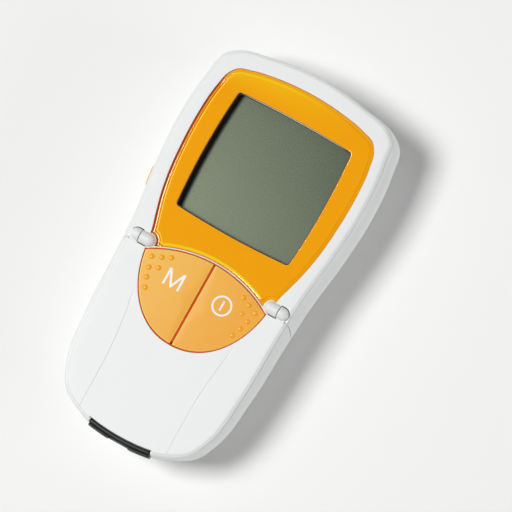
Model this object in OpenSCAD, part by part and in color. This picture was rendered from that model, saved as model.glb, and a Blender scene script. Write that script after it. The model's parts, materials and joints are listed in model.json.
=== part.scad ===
// Handheld blood glucose meter with a lifting flap over its measuring chamber.
// It lies on its back: +X to the right, +Y to the display end, +Z out of the display.
// The origin is on the table, under the middle of the whole length and width.

/* [Casing] */
// Distance from the display end to the widest place
display_from_top = 37; // [34:0.5:40]
// Width at the corners of the display end
shoulder_w = 74.2; // [71:0.2:76]
// Width behind the hinge
waist_w = 72.6; // [71:0.2:76]
// Width near the strip guide
toe_w = 64.2; // [62:0.2:67]
// Fall of the display end from its middle to its corners
crown_drop = 6.9; // [5:0.1:7.4]
// Height of the widest line, where the housings part, above the board
belt_rise = 2.8; // [2.6:0.1:3.2]
// Height of the rear face above the table
base_z = 0.6; // [0.4:0.1:1]
// How far the rear face lies inside the widest line
base_in = 7.6; // [6:0.2:8.4]
// How far the top face lies inside the widest line, beside the display
flare_display = 3; // [2:0.1:3.6]
// The same, beside the flap
flare_flap = 1.8; // [1.2:0.1:2.4]
// The same, at both ends
flare_end = 0.8; // [0.5:0.1:1.2]
// Height of the step round the top face
step_h = 1.3; // [0.9:0.1:1.6]
// Wall of the front housing and of the flap
front_wall = 1.6; // [1.3:0.1:2]
// Wall of the rear housing
rear_wall = 2.6; // [2.4:0.1:3]
// Thickness of the top plates
plate_t = 1.8; // [1.5:0.1:2]
// Thickness of the rear floor
floor_t = 1.8; // [1.5:0.1:2.2]

/* [Bezel and display] */
// White rim between the bezel and the widest line
rim_w = 7.4; // [6.8:0.1:8.4]
// Extra rim where the bezel narrows towards the hinge
rim_taper = 2.8; // [2:0.1:3.6]
// Thickness of the bezel
bezel_t = 1.8; // [1.5:0.1:2]
// Clear width of the display window
window_w = 50.2; // [46:0.2:55]
// Clear length of the display window
window_l = 49.3; // [45:0.2:54]
// Width of the bezel beside the window
bezel_side = 8.5; // [7.6:0.1:9.4]
// Distance from the window to the bezel's upper edge
window_top = 10.9; // [9.5:0.1:12]
// Distance from the hinge axis to the window
window_low = 15.6; // [15:0.1:18]
// How far the window's long sides bow outwards
window_bow = 1.1; // [0:0.05:2]
// Thickness of the clear display lens
lens_t = 1.5; // [1.2:0.1:1.7]
// Thickness of the liquid-crystal cell
lcd_t = 2.4; // [2:0.1:2.6]
// Depth of the cell below the bezel's underside
lcd_depth = 2.2; // [1.9:0.1:2.6]
// Height of the cell above the board
lcd_rise = 4.9; // [4.4:0.1:5.4]

/* [Flap and hinge] */
// How far the top face falls from the hinge to the strip end
flap_drop = 2.8; // [2:0.1:3.2]
// Radius of the hinge knuckles
knuckle_r = 2.4; // [2.2:0.05:2.5]
// Height of the hinge axis above the display face
axis_rise = 0.1; // [-0.2:0.05:0.4]
// Distance from the widest line at the waist to the knuckles' outer end
knuckle_in = 2.9; // [2.7:0.1:3.5]
// Width of each knuckle of the flap
outer_knuckle_w = 3.7; // [3:0.1:4]
// Width of each knuckle of the front housing
inner_knuckle_w = 5.7; // [5.2:0.1:6]
// Radius of the hinge pins
pin_r = 0.8; // [0.6:0.05:1]
// Running clearance round the hinge pins
pin_gap = 0.05; // [0.03:0.01:0.08]
// Gap between the flap and the front housing
seam_gap = 0.3; // [0.25:0.05:0.4]
// How far the side seams lean towards the strip end
seam_lean = 3.8; // [2.5:0.1:5]

/* [Buttons] */
// Width of the two buttons together
keys_w = 50.8; // [48:0.2:51.4]
// Length of the buttons, from the upper corners down
keys_l = 26.1; // [24:0.1:28]
// Height of the arch along their upper edge
keys_arch = 7.1; // [6:0.1:7.3]
// Distance from the hinge axis to the buttons' upper corners
keys_drop = 3.3; // [3.1:0.1:3.6]
// Gap between the two buttons
keys_split = 0.8; // [0.5:0.1:1.2]
// Travel of the two buttons
key_travel = 0.8; // [0.5:0.05:1]
// Wall of the button caps
key_wall = 1; // [0.8:0.1:1.2]
// Radius of the plungers under the caps
plunger_r = 2.5; // [2:0.1:3]
// Radius of the raised grip dots
dot_r = 1; // [0.7:0.05:1.2]
// Height of the raised grip dots
dot_h = 0.35; // [0.2:0.05:0.5]
// Length of the setting button in the side wall
set_l = 8.2; // [7:0.1:9]
// Height of the setting button
set_h = 4.6; // [4:0.1:5]
// Distance from the hinge axis to the middle of the setting button
set_from_hinge = 21.6; // [20:0.1:24]
// How far the setting button stands out of the wall
set_proud = 0.5; // [0.3:0.05:0.8]
// Travel of the setting button
set_travel = 0.6; // [0.4:0.05:0.65]
// Gap round the setting button
set_gap = 0.25; // [0.2:0.05:0.35]

/* [Measuring chamber] */
// Width of the strip guide
guide_w = 25.8; // [24:0.1:27]
// How far the guide's lips stand out of the casing
guide_reach = 0.7; // [0.4:0.1:1.2]
// Height of the guide's top below the flap's end
guide_drop = 1; // [0.7:0.1:1.3]
// Length of the guide
guide_l = 11; // [9:0.5:12]
// Width of the strip slot
slot_w = 8.4; // [7:0.1:9]
// Height of the strip slot
slot_h = 1.2; // [0.8:0.1:1.3]
// Thickness of the deck under the flap
deck_t = 1.6; // [1.4:0.1:1.8]
// Distance from the strip end to the middle of the chamber
chamber_from_end = 26.3; // [24:0.1:29]
// Distance from the buttons to the middle of the chamber
chamber_from_keys = 14.4; // [13:0.1:16]
// Width of the chamber window
chamber_w = 14; // [12:0.2:15]
// Length of the chamber window
chamber_l = 10; // [8:0.2:11]

/* [Batteries] */
// Radius of one battery
battery_r = 5.25; // [5.1:0.05:5.3]
// Length of one battery
battery_len = 44.5; // [43.5:0.1:45]
// Gap between neighbouring batteries
battery_apart = 0.8; // [0.5:0.1:1]
// Room for the contacts at both ends of the bay
contact_room = 3; // [2.6:0.1:3.4]
// Gap over and under the batteries
battery_gap = 0.4; // [0.35:0.05:0.5]
// Wall round the battery bay
bay_wall = 1.2; // [1:0.1:1.4]
// Gap round the battery cover
cover_gap = 0.3; // [0.2:0.05:0.4]
// Distance from the battery bay to the display end
bay_from_top = 18.5; // [17.5:0.1:20]

/* [Board and fasteners] */
// Thickness of the circuit board
board_t = 1.6; // [1:0.1:1.6]
// Distance from the widest line at the waist to the board
board_in = 6.3; // [5.9:0.1:7]
// Gap between the battery bay and the board
board_gap = 0.9; // [0.8:0.1:1.2]
// Radius of the housing screws' threads
screw_r = 1.05; // [0.9:0.05:1.2]
// Radius of the housing screws' heads
head_r = 2.3; // [2:0.1:2.4]
// Wall round the screws in their bosses
boss_wall = 1.9; // [1.5:0.1:2]
// Radius of the rubber feet
foot_r = 3.6; // [3:0.1:3.8]
// Depth of the feet's seats
foot_seat = 0.6; // [0.4:0.1:0.9]

/* [Hidden] */
$fn = 48;

tiny = 0.05;
far = 200;
fit_gap = 0.1; // between pieces that sit in each other
steps = 3; // points along each stretch of an outline

// Stations along the length
flap_l = keys_drop + keys_l + chamber_from_keys + chamber_from_end;
body_l = rim_w + window_top + window_l + window_low + flap_l + guide_reach;
top_y = body_l / 2;
toe_y = guide_reach - body_l / 2;
hinge_y = toe_y + flap_l;
display_y = top_y - display_from_top;
waist_y = hinge_y - 10;
toe_bend_y = toe_y + 16.8;
corner_y = top_y - 8.6;

// Widths
display_w = window_w + 2 * (bezel_side + rim_w);
board_w = waist_w - 2 * board_in;
knuckle_x = waist_w / 2 - knuckle_in;

// Heights, from the table up
floor_z = base_z + floor_t;
bay_top = floor_z + 2 * (battery_r + battery_gap);
board_z = bay_top + board_gap;
board_top = board_z + board_t;
belt_z = board_top + belt_rise;
boss_z = belt_z - 7; // where the bosses of the two housings meet
deck_z = belt_z + deck_t;
lcd_low = board_top + lcd_rise;
lcd_top = lcd_low + lcd_t;
bezel_floor = lcd_top + lcd_depth;
seat_t = 1.4; // plate that carries the bezel
case_z = bezel_floor + bezel_t; // the display face
hinge_z = case_z + axis_rise;

function mixed(a, b, t) = a + (b - a) * t;
function clamped(v) = max(0, min(1, v));
function unit(v) = v / norm(v);

// Direction of a smooth curve at b, coming from a and going to c
function heading(a, b, c) = unit(unit(b - a) * norm(c - b) + unit(c - b) * norm(b - a));

// Smooth curve through points, level where it starts or ends on the middle line
function through(p) = let (
    n = len(p) - 1,
    before = [-p[1].x, p[1].y],
    after = p[n].x == 0 ? [-p[n - 1].x, p[n - 1].y] : 2 * p[n] - p[n - 1],
    dirs = [for (i = [0:n]) heading(i == 0 ? before : p[i - 1], p[i], i == n ? after : p[i + 1])]
) concat([
    for (i = [0:n - 1]) for (s = [0:steps - 1]) let (t = s / steps, l = norm(p[i + 1] - p[i]))
        p[i] * (1 - 3 * t * t + 2 * t * t * t) + p[i + 1] * (3 * t * t - 2 * t * t * t)
        + dirs[i] * l * (t - 2 * t * t + t * t * t) + dirs[i + 1] * l * (t * t * t - t * t)
], [p[n]]);

// The whole closed outline from its right half
function both_sides(r) = concat(r, [for (i = [len(r) - 2:-1:1]) [-r[i].x, r[i].y]]);

// Right half of the widest line, from the display end to the strip end
belt_right = through([
    [0, top_y],
    [0.27 * shoulder_w, top_y - 0.3 * crown_drop],
    [0.45 * shoulder_w, top_y - 0.81 * crown_drop],
    [shoulder_w / 2, corner_y],
    [mixed(shoulder_w, display_w, 0.6) / 2, mixed(corner_y, display_y, 0.32)],
    [display_w / 2, display_y],
    [mixed(display_w, waist_w, 0.28) / 2, mixed(display_y, waist_y, 0.36)],
    [mixed(display_w, waist_w, 0.8) / 2, mixed(display_y, waist_y, 0.71)],
    [waist_w / 2, waist_y],
    [mixed(waist_w, toe_w, 0.27) / 2, mixed(waist_y, toe_bend_y, 0.55)],
    [toe_w / 2, toe_bend_y],
    [0.885 * toe_w / 2, toe_y + 9.3],
    [0.56 * toe_w / 2, toe_y + 2.7],
    [0, toe_y],
]);
belt = both_sides(belt_right);
belt_n = len(belt);
normals = [
    for (i = [0:belt_n - 1])
        let (t = unit(belt[(i + 1) % belt_n] - belt[(i + belt_n - 1) % belt_n])) [-t.y, t.x]
];
function belt_half(y) = lookup(y, [for (p = belt_right) [p.y, p.x]]);

// Clockwise outline grown by d
function grown(p, d) = let (n = len(p)) [
    for (i = [0:n - 1]) let (t = unit(p[(i + 1) % n] - p[(i + n - 1) % n])) p[i] + d * [-t.y, t.x]
];

// The widest line moved in by [beside the display, beside the flap, at the ends]
function inset(d) = [
    for (i = [0:belt_n - 1]) let (
        side = mixed(d[1], d[0], clamped((belt[i].y - toe_bend_y) / (hinge_y + 18 - toe_bend_y)))
    ) belt[i] - normals[i] * mixed(d[2], side, normals[i].x * normals[i].x)
];
function even(d) = [d, d, d];

// Height of the top face: level over the display, then falling along the flap
function top_z(y) = case_z - flap_drop * pow(clamped((hinge_y - keys_drop - y) / (flap_l - keys_drop)), 1.5);

// One ring of a skin: w goes from the widest line to the top face, less dz
function ring(w, dz, d) = [for (p = inset(d)) [p.x, p.y, mixed(belt_z, top_z(p.y), w) - dz]];
function level(z, d) = [for (p = inset(d)) [p.x, p.y, z]];
flare = [flare_display, flare_flap, flare_end];

// Share of base_in at a share of the rear housing's height
rear_profile = [[0, 1], [0.05, 0.78], [0.14, 0.62], [0.35, 0.41], [0.62, 0.17], [0.86, 0.03], [1, 0]];
function rear_in(z) = base_in * lookup((z - base_z) / (belt_z - base_z), rear_profile);
function rear_level(z, more) = let (
    side = 1 - (rear_in(z) + more) * 2 / display_w,
    end = 1 - (0.8 * rear_in(z) + more) * 2 / body_l
) [for (p = belt) [p.x * side, p.y * end, z]];

// Closed solid through rings that are symmetric about the middle line
module loft(rings) {
    n = len(rings[0]);
    last = len(rings) - 1;
    sides = [
        for (k = [0:last - 1]) for (i = [0:n - 1]) for (upper = [0, 1])
            let (a = k * n + i, b = k * n + (i + 1) % n) upper ? [a, b + n, a + n] : [a, b, b + n]
    ];
    caps = [
        for (k = [0, last]) for (i = [0:n / 2 - 1]) for (second = [0, 1])
            let (
                o = k * n,
                f = second ? [o + i, o + n - i - 1, o + n - i] : [o + i, o + i + 1, o + n - i - 1]
            )
            if (second ? i > 0 : i < n / 2 - 1) k == 0 ? [f[2], f[1], f[0]] : f
    ];
    polyhedron([for (r = rings) each r], concat(sides, caps));
}

// Extrudes a (y, z) outline along X
module across(x0, x1) translate([x0, 0, 0]) rotate([90, 0, 90]) linear_extrude(x1 - x0) children();
// Extrudes an (x, y) outline between two heights
module rise(z0, z1) translate([0, 0, z0]) linear_extrude(z1 - z0) children();
module block(x0, x1, y0, y1, z0, z1) translate([x0, y0, z0]) cube([x1 - x0, y1 - y0, z1 - z0]);
module post(x, y, r, z0, z1) translate([x, y, z0]) cylinder(r = r, h = z1 - z0);
module on_both_sides() { children(); mirror([1, 0, 0]) children(); }
module centred(w, l) translate([-w / 2, -l / 2]) square([w, l]);
// Everything below the top face, less dz
module under_top(dz) across(-far / 2, far / 2) polygon(concat(
    [for (i = [0:12]) let (y = mixed(toe_y - 2, hinge_y - keys_drop, i / 12)) [y, top_z(y) - dz]],
    [[far, case_z - dz], [far, -1], [toe_y - 2, -1]]
));

// ---- Shared outlines ----

// Window with bowed sides and round corners, grown by d
window_r = 1.2;
window_bow_l = 0.85;
bezel_top_y = top_y - rim_w;
window_y = bezel_top_y - window_top - window_l / 2;
function pillow(d) = let (
    a = window_w / 2 + d, b = window_l / 2 + d, r = window_r + max(0, d),
    quarter = concat(
        [for (i = [0:4]) [a, mixed(0, b - r, i / 5)]],
        [for (i = [0:4]) let (q = i * 22.5) [a - r + r * cos(q), b - r + r * sin(q)]],
        [for (i = [1:5]) [mixed(a - r, 0, i / 5), b]]
    ),
    bowed = [for (p = quarter) [
        p.x - window_bow * pow(p.y / b, 2) * p.x / a, p.y - window_bow_l * pow(p.x / a, 2) * p.y / b
    ]],
    n = len(bowed)
) [
    for (s = [0:3]) for (i = [0:n - 2]) let (p = bowed[s % 2 == 0 ? i : n - 1 - i])
        [p.x * (s == 1 || s == 2 ? -1 : 1), window_y + p.y * (s > 1 ? -1 : 1)]
];

// The button field: an arch above, part of an ellipse below, grown by d
keys_mid = 6; // height of the ellipse's middle above the upper corners
keys_full = 0.95; // 1 is a true ellipse, less is fuller
arch_r = (keys_w * keys_w / 4 + keys_arch * keys_arch) / (2 * keys_arch);
keys_corner_y = hinge_y - keys_drop;
keys_low_y = keys_corner_y - keys_l;
arch_y = keys_corner_y + keys_arch - arch_r;
function keys(d) = let (
    r = arch_r + d, half = asin((keys_w / 2 + d) / r), mid_y = arch_y + r * cos(half) + keys_mid,
    b = mid_y - keys_low_y + d, first = asin(keys_mid / b), a = r * sin(half) / pow(cos(first), keys_full)
) concat(
    [for (i = [-8:8]) [r * sin(half * i / 8), arch_y + r * cos(half * i / 8)]],
    [for (i = [1:23]) let (q = mixed(first, 180 - first, i / 24))
        [a * sign(cos(q)) * pow(abs(cos(q)), keys_full), mid_y - b * sin(q)]]
);

// Bezel outline, grown by d
rib_w = 0.5; // white rib between the bezel and the buttons
bezel_gap = 0.15;
key_gap = 0.45; // round the buttons
notch_r = knuckle_r + 0.5;
knuckle_tip_x = knuckle_x - outer_knuckle_w - seam_gap - inner_knuckle_w;
notch_x = knuckle_tip_x + knuckle_r;
bezel_half = display_w / 2 - rim_w;
bezel_low_y = hinge_y - 0.6;
bezel_right = through(concat(
    [for (q = [[0, 0], [0.4, 0.9], [0.72, 3], [0.855, 4.7], [0.922, 7.6], [0.967, 13.6]])
        [q[0] * bezel_half, bezel_top_y - q[1]]],
    [for (t = [0, 0.25, 0.45, 0.63, 0.79, 0.91, 1]) let (
        y = mixed(display_y + 2, bezel_low_y, t), near = pow(clamped((hinge_y + 26.2 - y) / 23), 1.8)
    ) [belt_half(y) - rim_w - rim_taper * near, y]]
));
module bezel_shape(d) difference() {
    polygon(grown(both_sides(concat(bezel_right, [[0, bezel_low_y]])), d));
    translate([0, arch_y]) circle(arch_r + key_gap + rib_w + bezel_gap - d, $fn = 160);
    on_both_sides() {
        translate([notch_x, hinge_y]) circle(notch_r - d);
        translate([notch_x, hinge_y - notch_r + d]) square([far, 2 * (notch_r - d)]);
    }
}

// ---- Skins ----

module upper_skin() loft([
    ring(0, 0, even(0)),
    ring(0.35, 0, flare * 0.12),
    ring(0.65, 0, flare * 0.4),
    ring(1, step_h, flare * 0.88),
    ring(1, step_h - 0.25, flare),
    ring(1, 0.35, flare + even(0.05)),
    ring(1, 0, flare + even(0.55)),
]);
module upper_hollow() loft([
    ring(0, 1, even(front_wall)),
    ring(0.35, 0, flare * 0.12 + even(front_wall)),
    ring(0.65, 0, flare * 0.4 + even(front_wall)),
    ring(1, plate_t, flare + even(front_wall)),
]);

// The seams lean from the top face's edge down to the widest line
seam_y = hinge_y - knuckle_r - seam_gap / 2;
module display_side(gap) across(-far / 2, far / 2) polygon([
    [seam_y + gap, far], [seam_y + gap, case_z - step_h], [seam_y - seam_lean + gap, belt_z],
    [seam_y - seam_lean + gap, belt_z - 2], [far, belt_z - 2], [far, far],
]);

module at_hinge() on_both_sides() translate([0, hinge_y, hinge_z]) rotate([0, 90, 0]) children();
module barrel(x0, x1, r) translate([0, 0, x0]) cylinder(r = r, h = x1 - x0);
outer_x0 = knuckle_x - outer_knuckle_w;
inner_x1 = outer_x0 - seam_gap;

// The setting button's own frame: u goes in through the left wall
set_y = hinge_y + set_from_hinge;
set_lean = atan((belt_half(set_y + 4) - belt_half(set_y - 4)) / 8);
set_z = belt_z - 0.3;
module set_frame() translate([-belt_half(set_y), set_y, set_z]) rotate([0, 0, set_lean]) children();
flange_u = rear_wall + 0.8;
stem_u = flange_u + 1.3;
set_switch_x = stem_u + set_travel + fit_gap + 0.5 - belt_half(set_y);
module stadium(l, h, u0, u1) translate([u0, 0, 0]) rotate([90, 0, 90]) linear_extrude(u1 - u0) {
    centred(l - h, h);
    for (s = [-1, 1]) translate([s * (l - h) / 2, 0]) circle(h / 2);
}

// Screws: [x, y] of the housing screws, front and rear bosses meet at boss_z
boss_r = screw_r + boss_wall;
screw_spots = [[0.73 * shoulder_w / 2, top_y - 12.5], [0.64 * toe_w / 2, toe_y + 16.3]];
module at_screws() for (p = screw_spots) for (s = [-1, 1]) translate([s * p.x, p.y, 0]) children();
head_seat = floor_z + 0.8;
head_h = 1.2;
board_post_x = board_w / 2 - 2.7;
board_post_y = [hinge_y + 8.2, hinge_y - 22.8];
module at_board_posts() for (y = board_post_y) for (s = [-1, 1]) translate([s * board_post_x, y, 0]) children();
board_screw_r = 1;
foot_spots = [[0.46 * shoulder_w / 2, top_y - 12], [0.47 * toe_w / 2, toe_y + 10.5]];
module at_feet() for (p = foot_spots) for (s = [-1, 1]) translate([s * p.x, p.y, 0]) children();

// Battery bay
battery_pitch = 2 * battery_r + battery_apart;
bay_w = 3 * battery_pitch + 2 * battery_r + 1.2;
bay_l = battery_len + contact_room;
bay_y1 = top_y - bay_from_top;
bay_y0 = bay_y1 - bay_l;
battery_z = base_z + floor_t + battery_gap + battery_r;
contact_t = 0.4;

// The battery cover turns on two stubs near the display end
stub_r = 0.5;
stub_gap = 0.05;
stub_l = 0.9;
cover_axis_y = bay_y1 - 1.8;
cover_axis_z = base_z + 0.7;
module at_cover_axis() translate([0, cover_axis_y, cover_axis_z]) rotate([0, 90, 0]) children();

// Keys and their carrier
island_gap = 0.3;
island_in = key_wall + island_gap;
island_wall = 1.2;
key_plate_z = case_z - plate_t; // underside of the caps
mat_t = 1;
mat_z = key_plate_z - key_travel - fit_gap - mat_t;
carrier_t = 1.2;
skirt_z = deck_z + key_travel + 0.9;
key_x = 11;
key_y = hinge_y - 11.3;
switch_h = 3.5;
switch_top = board_top + switch_h;
module key_half(d, side) intersection() {
    polygon(keys(d));
    translate([side > 0 ? keys_split / 2 : -far - keys_split / 2, -far / 2]) square([far, far]);
}
dots = [[15.4, -0.9], [18.6, -2.4], [22.1, -3.9], [17.8, -6.4], [21, -7.9], [20, -11.4], [18.6, -15]];

// Measuring chamber and strip guide
chamber_y = toe_y + chamber_from_end;
guide_top = top_z(toe_y) - guide_drop;
mouth_y = toe_y + 2.2; // flap edge over the guide
mouth_r = 80; // its curve, which the guide's lips follow
lip_centre_y = toe_y - guide_reach + sqrt(mouth_r * mouth_r - slot_w * slot_w / 4);
slot_z = deck_z + 0.3;
slot_end = toe_y + 0.1;
shield_w = chamber_w + 10;
shield_l = chamber_l + 8;
shield_z = top_z(chamber_y - shield_l / 2) - plate_t - 0.7;
tongue_w = 28;

// ---- Casing ----

module rear_housing() color("whitesmoke") difference() {
    union() {
        difference() {
            loft([for (f = [0, 0.05, 0.14, 0.35, 0.62, 0.86, 1])
                rear_level(mixed(base_z, belt_z, f), 0)]);
            loft([for (f = [0, 0.3, 0.6, 0.88, 1.04])
                rear_level(mixed(floor_z, belt_z, f), rear_wall)]);
        }
        block(-bay_w / 2 - bay_wall, bay_w / 2 + bay_wall, bay_y0 - bay_wall, bay_y1 + bay_wall,
            floor_z - tiny, bay_top + 0.8);
        at_screws() post(0, 0, boss_r + 0.3, floor_z - 1, boss_z);
        at_board_posts() post(0, 0, board_screw_r + 1.2, floor_z - tiny, board_z);
    }
    block(-bay_w / 2, bay_w / 2, bay_y0, bay_y1, 0, bay_top);
    at_cover_axis() cylinder(r = stub_r + stub_gap, h = bay_w + 2 * stub_l + fit_gap, center = true);
    at_screws() {
        cylinder(r = screw_r + 0.25, h = belt_z);
        cylinder(r = head_r + 0.2, h = head_seat);
    }
    at_board_posts() post(0, 0, board_screw_r, board_z - 5, belt_z);
    at_feet() cylinder(r = foot_r + fit_gap, h = base_z + foot_seat);
    set_frame() stadium(set_l + 2 * set_gap, set_h + 2 * set_gap, -3, rear_wall + 0.6);
}

module front_housing() color("white") difference() {
    union() {
        intersection() {
            difference() {
                upper_skin();
                upper_hollow();
            }
            display_side(seam_gap / 2);
        }
        rise(bezel_floor - seat_t, bezel_floor + tiny) bezel_shape(1.6);
        deck();
        key_carrier();
        at_screws() post(0, 0, boss_r, boss_z, deck_z);
        for (s = [-1, 1]) post(s * screw_spots[0].x, screw_spots[0].y, boss_r, belt_z, case_z - 1);
        on_both_sides() block(knuckle_tip_x + 1, inner_x1, hinge_y - 1.5, hinge_y + 1.5, deck_z, hinge_z);
        at_hinge() {
            barrel(notch_x, inner_x1, knuckle_r);
            translate([0, 0, notch_x]) sphere(knuckle_r);
        }
    }
    rise(bezel_floor, far) bezel_shape(bezel_gap);
    rise(bezel_floor - seat_t - 1, far) polygon(pillow(1.3));
    rise(deck_z + 1, far) polygon(keys(key_gap));
    hinge_pocket();
    at_hinge() barrel(pin_x0, inner_x1 + tiny, pin_r);
    at_screws() post(0, 0, screw_r, boss_z - 1, belt_z + 0.2);
    set_frame() stadium(set_l + 2 * set_gap, set_h + 2 * set_gap, -3, front_wall + 0.6);
    block(-window_ir_w / 2 - fit_gap, window_ir_w / 2 + fit_gap, top_y - 4, far,
        ir_z - fit_gap, ir_z + window_ir_h + fit_gap);
}

// Free space round the flap's knuckles and the arms that carry them
module hinge_pocket() {
    at_hinge() {
        barrel(inner_x1, knuckle_x - knuckle_r, knuckle_r + seam_gap);
        translate([0, 0, knuckle_x - knuckle_r]) sphere(knuckle_r + seam_gap);
    }
    on_both_sides() block(inner_x1, knuckle_x + seam_gap, seam_y - 1, hinge_y,
        hinge_z - knuckle_r - seam_gap, far);
}

module deck() difference() {
    rise(belt_z, deck_z) difference() {
        union() {
            intersection() {
                polygon(inset(even(front_wall + seam_gap)));
                translate([-far / 2, seam_y - far - 2]) square([far, far]);
            }
            intersection() {
                polygon(inset(even(front_wall / 2)));
                translate([-far / 2, seam_y - seam_lean + 1.2]) square([far, seam_lean + 10.5]);
            }
        }
        polygon(keys(-island_in - island_wall));
        translate([0, chamber_y]) centred(chamber_w + 2 * fit_gap, chamber_l + 2 * fit_gap);
    }
    // Shallow channel that the strip lies in
    block(-slot_w / 2, slot_w / 2, toe_y - 1, chamber_y + chamber_l, deck_z - 0.3, far);
}

// Walls and plate that carry the key mat and guide the plungers
module key_carrier() difference() {
    rise(belt_z, mat_z) polygon(keys(-island_in));
    rise(belt_z - 1, mat_z - carrier_t) polygon(keys(-island_in - island_wall));
    for (s = [-1, 1]) post(s * key_x, key_y, plunger_r + fit_gap, belt_z, far);
}

module display_bezel() color("orange") rise(bezel_floor, case_z) difference() {
    bezel_shape(0);
    polygon(pillow(0));
}

module display_lens() color("lightgray", 0.4)
    rise(bezel_floor, bezel_floor + lens_t) polygon(pillow(-bezel_gap));

// ---- Display ----

frame_grow = 3.2;
module lcd_frame() color("black") difference() {
    union() {
        rise(board_top, bezel_floor - seat_t) polygon(pillow(frame_grow));
        rise(bezel_floor - seat_t - tiny, bezel_floor) polygon(pillow(1.2));
    }
    rise(lcd_top - tiny, far) polygon(pillow(-0.4));
    rise(lcd_low, lcd_top) polygon(pillow(1.3));
    rise(board_top - 1, lcd_low + tiny) polygon(pillow(-0.2));
}
module lcd_cell() color("darkseagreen") rise(lcd_low, lcd_top) polygon(pillow(1.2));
strip_l = window_w - 8;
module contact_strips() color("dimgray") for (s = [-1, 1])
    translate([0, window_y + s * (window_l / 2 - 3.2), board_top])
        rise(0, lcd_low - board_top) centred(strip_l, 3);
module lcd_reflector() color("white") difference() {
    rise(board_top, lcd_low - fit_gap)
        translate([0, window_y]) centred(window_w - 5, window_l - 12);
    rise(board_top + 1.5, far) translate([0, window_y]) centred(window_w - 8, window_l - 15);
}

// ---- Board ----

board_top_y = bay_y1 + bay_wall;
module main_board() color("darkgreen") rise(board_z, board_top) difference() {
    union() {
        translate([-board_w / 2, hinge_y - 26.8]) square([board_w, board_top_y - hinge_y + 26.8]);
        translate([-tongue_w / 2, chamber_y - 12]) square([tongue_w, hinge_y - chamber_y]);
        translate([set_switch_x - 0.2, set_y - 5]) square([5 - board_w / 2 - set_switch_x, 10]);
        translate([-ir_tab_w / 2, board_top_y - 1]) square([ir_tab_w, ir_leg_y - board_top_y + 2]);
    }
    at_board_posts() circle(board_screw_r + 0.2);
}
module chip(x, y, w, l, h) translate([x, y, board_top]) rise(0, h) centred(w, l);
module processor() color("black") chip(-9, hinge_y + 6.6, 12, 7, 1.4);
module memory_chip() color("black") chip(4, hinge_y + 6.6, 6, 5, 1.4);
module clock_crystal() color("silver") chip(14, hinge_y + 6.4, 8, 3.2, 2.4);
buzzer_r = 5.4;
buzzer_h = belt_rise - 0.2;
module buzzer() color("black") translate([buzzer_r + 5 - board_w / 2, hinge_y - 19.4, 0]) difference() {
    post(0, 0, buzzer_r, board_top, board_top + buzzer_h);
    post(0, 0, 1, board_top + buzzer_h / 2, far);
}
switch_w = 6;
module tact_switch() {
    rise(board_top, switch_top - 0.8) centred(switch_w, switch_w);
    post(0, 0, 1.7, switch_top - 1, switch_top);
}
module memory_switch() color("dimgray") translate([-key_x, key_y, 0]) tact_switch();
module power_switch() color("dimgray") translate([key_x, key_y, 0]) tact_switch();
module set_switch() color("dimgray") {
    block(set_switch_x, set_switch_x + 3.2, set_y - 3.1, set_y + 3.1, board_top, board_top + 3.5);
    block(set_switch_x - 0.5, set_switch_x + 1, set_y - 1.2, set_y + 1.2, set_z - 1.4, set_z + 0.2);
}
window_ir_w = 9;
window_ir_h = 3;
ir_z = belt_z + 1.6;
module infrared_window() color("darkred")
    block(-window_ir_w / 2, window_ir_w / 2, top_y - 3, top_y - flare_end * 0.4 - 0.2, ir_z, ir_z + window_ir_h);
ir_tab_w = 10;
ir_leg_y = top_y - 12;
module infrared_diode() color("gray") {
    translate([0, top_y - 8, ir_z + 1.5]) rotate([-90, 0, 0]) cylinder(r = 1.4, h = 4.7);
    for (s = [-1, 1]) translate([s * 0.9, 0, 0]) {
        block(-0.25, 0.25, ir_leg_y - 0.5, top_y - 7.5, ir_z + 1.2, ir_z + 1.7);
        block(-0.25, 0.25, ir_leg_y - 0.5, ir_leg_y, board_top, ir_z + 1.7);
    }
}

// ---- Buttons ----

module key_cap(side) {
    intersection() {
        rise(skirt_z, far) key_half(0, side);
        difference() {
            under_top(0);
            rise(0, key_plate_z) polygon(keys(-key_wall));
        }
    }
    post(side * key_x, key_y, plunger_r, switch_top + key_travel + tiny, key_plate_z + 0.4);
    for (d = dots) post(side * d.x, keys_corner_y + d.y + 2.6, dot_r,
        key_plate_z + 0.3, top_z(keys_corner_y + d.y) + dot_h);
}
module memory_button() color("sandybrown") key_cap(-1);
module power_button() color("sandybrown") key_cap(1);
module key_mat() color("gainsboro") rise(mat_z, mat_z + mat_t) difference() {
    polygon(keys(-island_in - fit_gap));
    for (s = [-1, 1]) translate([s * key_x, key_y]) circle(plunger_r + 0.3);
}
module set_button() color("orange") set_frame() {
    stadium(set_l, set_h, -set_proud, flange_u + tiny);
    stadium(set_l + 1.8, set_h + 1.2, flange_u, flange_u + 0.8);
    translate([stem_u - 0.6, -1.2, -1.4]) cube([0.6, 2.4, 1.6]);
}

// ---- Flap ----

arm_x0 = outer_x0;
arm_x1 = knuckle_x - 0.4;
module measuring_flap() color("white") difference() {
    union() {
        difference() {
            upper_skin();
            upper_hollow();
            display_side(-seam_gap / 2);
            rise(0, belt_z + 0.2) centred(far, far);
            rise(0, far) polygon(keys(key_gap + 0.1));
            guide_mouth();
        }
        at_hinge() {
            barrel(outer_x0, knuckle_x - knuckle_r, knuckle_r);
            translate([0, 0, knuckle_x - knuckle_r]) intersection() {
                sphere(knuckle_r);
                translate([-knuckle_r, -knuckle_r, -0.6]) cube([2 * knuckle_r, 2 * knuckle_r, 4]);
            }
        }
        on_both_sides() block(arm_x0, arm_x1, seam_y - 1.5, hinge_y, case_z - plate_t, hinge_z - 0.3);
        shield_seat();
    }
    at_hinge() barrel(0, pin_x1 + fit_gap, pin_r + pin_gap);
}

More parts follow.
